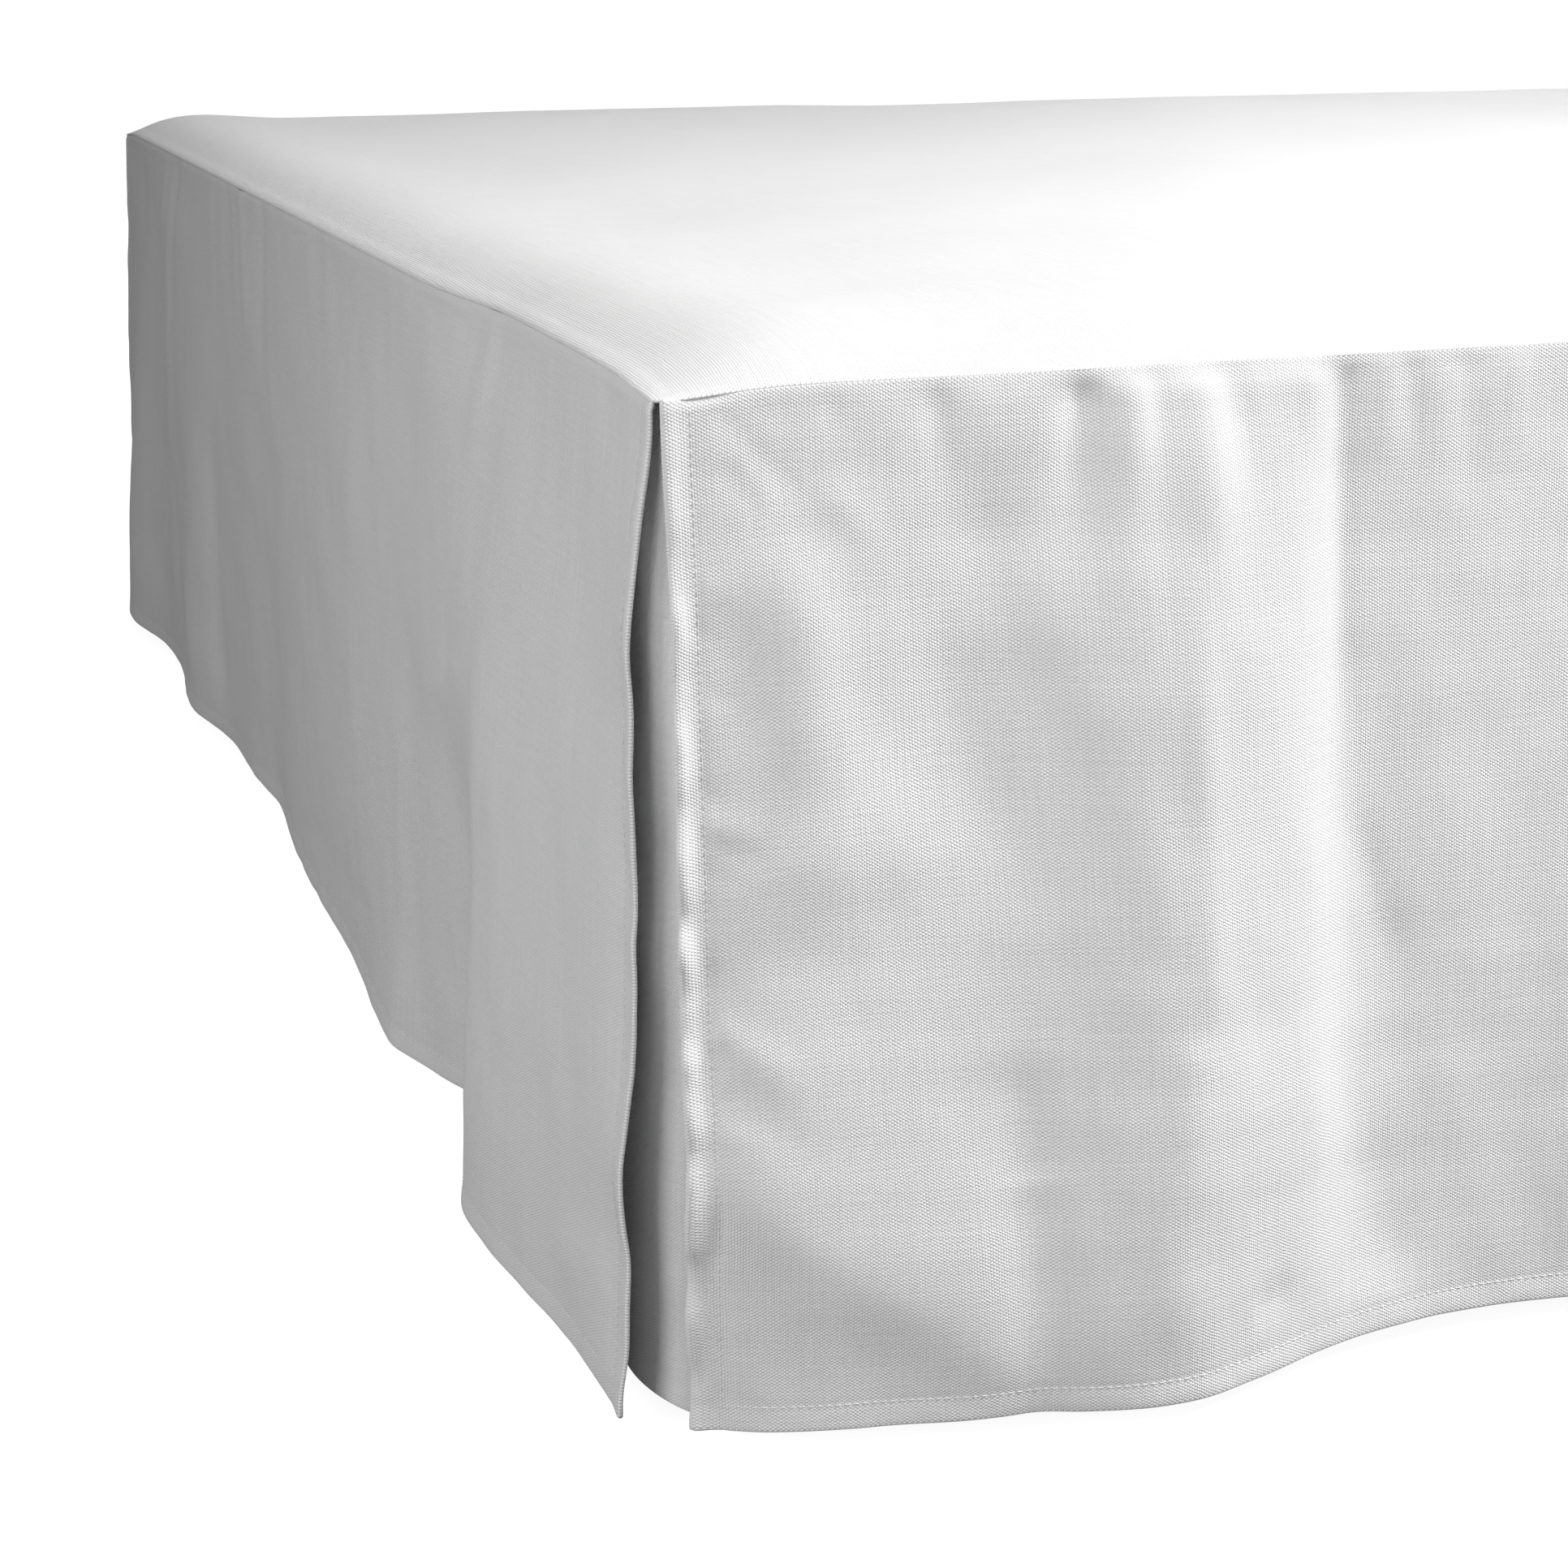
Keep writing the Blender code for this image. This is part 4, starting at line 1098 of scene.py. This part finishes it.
class BEDSKIRT_OT_underlays(bpy.types.Operator):
    """Hang the backing strips behind the two split corners"""
    bl_idname = "bedskirt.underlays"
    bl_label = "Underlays"

    def execute(self, context):
        settings = cloth_settings()
        length = 2 * UNDERLAY_REACH
        for name, node, across in (("underlay_cloth_near", "underlay_near", -1.0),
                                   ("underlay_cloth_far", "underlay_far", 1.0)):
            w, s = np.meshgrid(np.linspace(0.0, 1.0, UNDERLAY_COLUMNS), spaced(FOOT_ROWS))
            bare, facing = underlay_surface(w, s, across)
            normal = face_normals(bare, facing)
            outer = bare + normal * (UNDERLAY_HEM * hem_lift(DROP - s, settings))[..., None]
            inner = bare - normal * settings.thickness
            piece = cloth_shell(name, outer, inner, np.stack([w * length, -s], axis=-1), canvas_finish())
            hang(piece, node)
        return {"FINISHED"}


class BEDSKIRT_OT_base(bpy.types.Operator):
    """Cover the bed base with ticking and stain its legs"""
    bl_idname = "bedskirt.base"
    bl_label = "Base"

    def execute(self, context):
        for name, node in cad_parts.items():
            if name == "foundation" or name.startswith("leg_"):
                covered = name == "foundation"
                node.data.materials.clear()
                node.data.materials.append(ticking_finish() if covered else wood_finish())
        return {"FINISHED"}


def add_light(name, place, target, size, power):
    """A rectangular soft light at a place, turned to a target; the camera doesn't see it."""
    light = bpy.data.lights.new(name, "AREA")
    light.shape = "RECTANGLE"
    light.size, light.size_y = size
    light.energy = power
    made = bpy.data.objects.new(name, light)
    made.location = place
    made.rotation_mode = "QUATERNION"
    made.rotation_quaternion = (Vector(target) - Vector(place)).to_track_quat("-Z", "Y")
    made.visible_camera = False
    bpy.context.scene.collection.objects.link(made)
    return made


def narrow(light, names):
    """Narrow a light's beam and let it reach only the named pieces."""
    light.data.spread = SPLIT_SPREAD
    reached = bpy.data.collections.new(light.name + "_reaches")
    for name in names:
        reached.objects.link(bpy.data.objects[name])
    light.light_linking.receiver_collection = reached


def add_camera(corner):
    """The photograph's view: yaw and pitch give the line of sight, roll turns its two axes."""
    cos_yaw, sin_yaw = math.cos(CAMERA_YAW), math.sin(CAMERA_YAW)
    cos_pitch, sin_pitch = math.cos(CAMERA_PITCH), math.sin(CAMERA_PITCH)
    ahead = Vector((sin_yaw * cos_pitch, cos_yaw * cos_pitch, -sin_pitch))
    level = Vector((cos_yaw, -sin_yaw, 0.0))
    above = level.cross(ahead)
    right = level * math.cos(CAMERA_ROLL) + above * math.sin(CAMERA_ROLL)
    up = above * math.cos(CAMERA_ROLL) - level * math.sin(CAMERA_ROLL)
    camera = bpy.data.objects.new("camera", bpy.data.cameras.new("camera"))
    camera.data.sensor_width = SENSOR
    camera.data.lens = CAMERA_FOCAL * SENSOR / PHOTO_WIDTH
    camera.data.clip_start, camera.data.clip_end = 0.02, 200.0
    turned = Matrix((right, up, -ahead)).transposed().to_4x4()
    camera.matrix_world = Matrix.Translation(corner + Vector(CAMERA_FROM_CORNER)) @ turned
    bpy.context.scene.collection.objects.link(camera)
    bpy.context.scene.camera = camera


def add_world(strength):
    """White to the camera, and an even soft light of the given strength for the rest."""
    world = bpy.data.worlds.new("studio")
    world.use_nodes = True
    tree = world.node_tree
    background = tree.nodes["Background"]
    background.inputs["Color"].default_value = (1.0, 1.0, 1.0, 1.0)
    seen = tree.nodes.new("ShaderNodeLightPath").outputs["Is Camera Ray"]
    level = maths(tree, "MULTIPLY_ADD", seen, 1.0 - strength, strength)
    tree.links.new(level, background.inputs["Strength"])
    bpy.context.scene.world = world


class BEDSKIRT_OT_studio(bpy.types.Operator):
    """Set the pale floor, the soft lights and the camera at the photograph's angle"""
    bl_idname = "bedskirt.studio"
    bl_label = "Studio"

    def execute(self, context):
        settings = context.scene.bed_skirt_studio
        corner = Vector((*(CENTRE - HALF), SEAM_Z))
        add_camera(corner)
        points = FLOOR_REACH * np.array([[-1.0, -1.0, 0.0], [1.0, -1.0, 0.0],
                                         [1.0, 1.0, 0.0], [-1.0, 1.0, 0.0]])
        floor = mesh_object("floor", points, np.array([[0, 1, 2, 3]]), points[:, :2], floor_finish())
        for name, (place, target, size) in LIGHTS.items():
            made = add_light(name + "_light", corner + Vector(place), corner + Vector(target), size,
                             getattr(settings, name))
            if name == "split":
                narrow(made, ("underlay_cloth_near", "underlay_cloth_far"))
        add_world(settings.ambient)
        context.scene.view_settings.view_transform = "Standard"
        return {"FINISHED"}


class BEDSKIRT_PT_panel(bpy.types.Panel):
    """The bed skirt's sizes, colours and steps"""
    bl_idname = "BEDSKIRT_PT_panel"
    bl_label = "Bed Skirt"
    bl_space_type = "VIEW_3D"
    bl_region_type = "UI"
    bl_category = "Bed Skirt"

    def draw(self, context):
        for group in (context.scene.bed_skirt_cloth, context.scene.bed_skirt_base,
                      context.scene.bed_skirt_studio):
            box = self.layout.box()
            for name in group.bl_rna.properties.keys():
                if name not in {"rna_type", "name"}:
                    box.prop(group, name)
        for step in STEPS:
            self.layout.operator(step.bl_idname)


STEPS = (BEDSKIRT_OT_deck, BEDSKIRT_OT_side_panels, BEDSKIRT_OT_foot_panel, BEDSKIRT_OT_underlays,
         BEDSKIRT_OT_base, BEDSKIRT_OT_studio)
SETTINGS = {"bed_skirt_cloth": BedSkirtCloth, "bed_skirt_base": BedSkirtBase,
            "bed_skirt_studio": BedSkirtStudio}
CLASSES = (*SETTINGS.values(), *STEPS, BEDSKIRT_PT_panel)


def register():
    for item in CLASSES:
        bpy.utils.register_class(item)
    for name, group in SETTINGS.items():
        setattr(bpy.types.Scene, name, bpy.props.PointerProperty(type=group))


def unregister():
    for name in SETTINGS:
        delattr(bpy.types.Scene, name)
    for item in reversed(CLASSES):
        bpy.utils.unregister_class(item)


def main():
    register()
    bpy.ops.bedskirt.deck()
    bpy.ops.bedskirt.side_panels()
    bpy.ops.bedskirt.foot_panel()
    bpy.ops.bedskirt.underlays()
    bpy.ops.bedskirt.base()
    bpy.ops.bedskirt.studio()


if __name__ == "__main__":
    main()
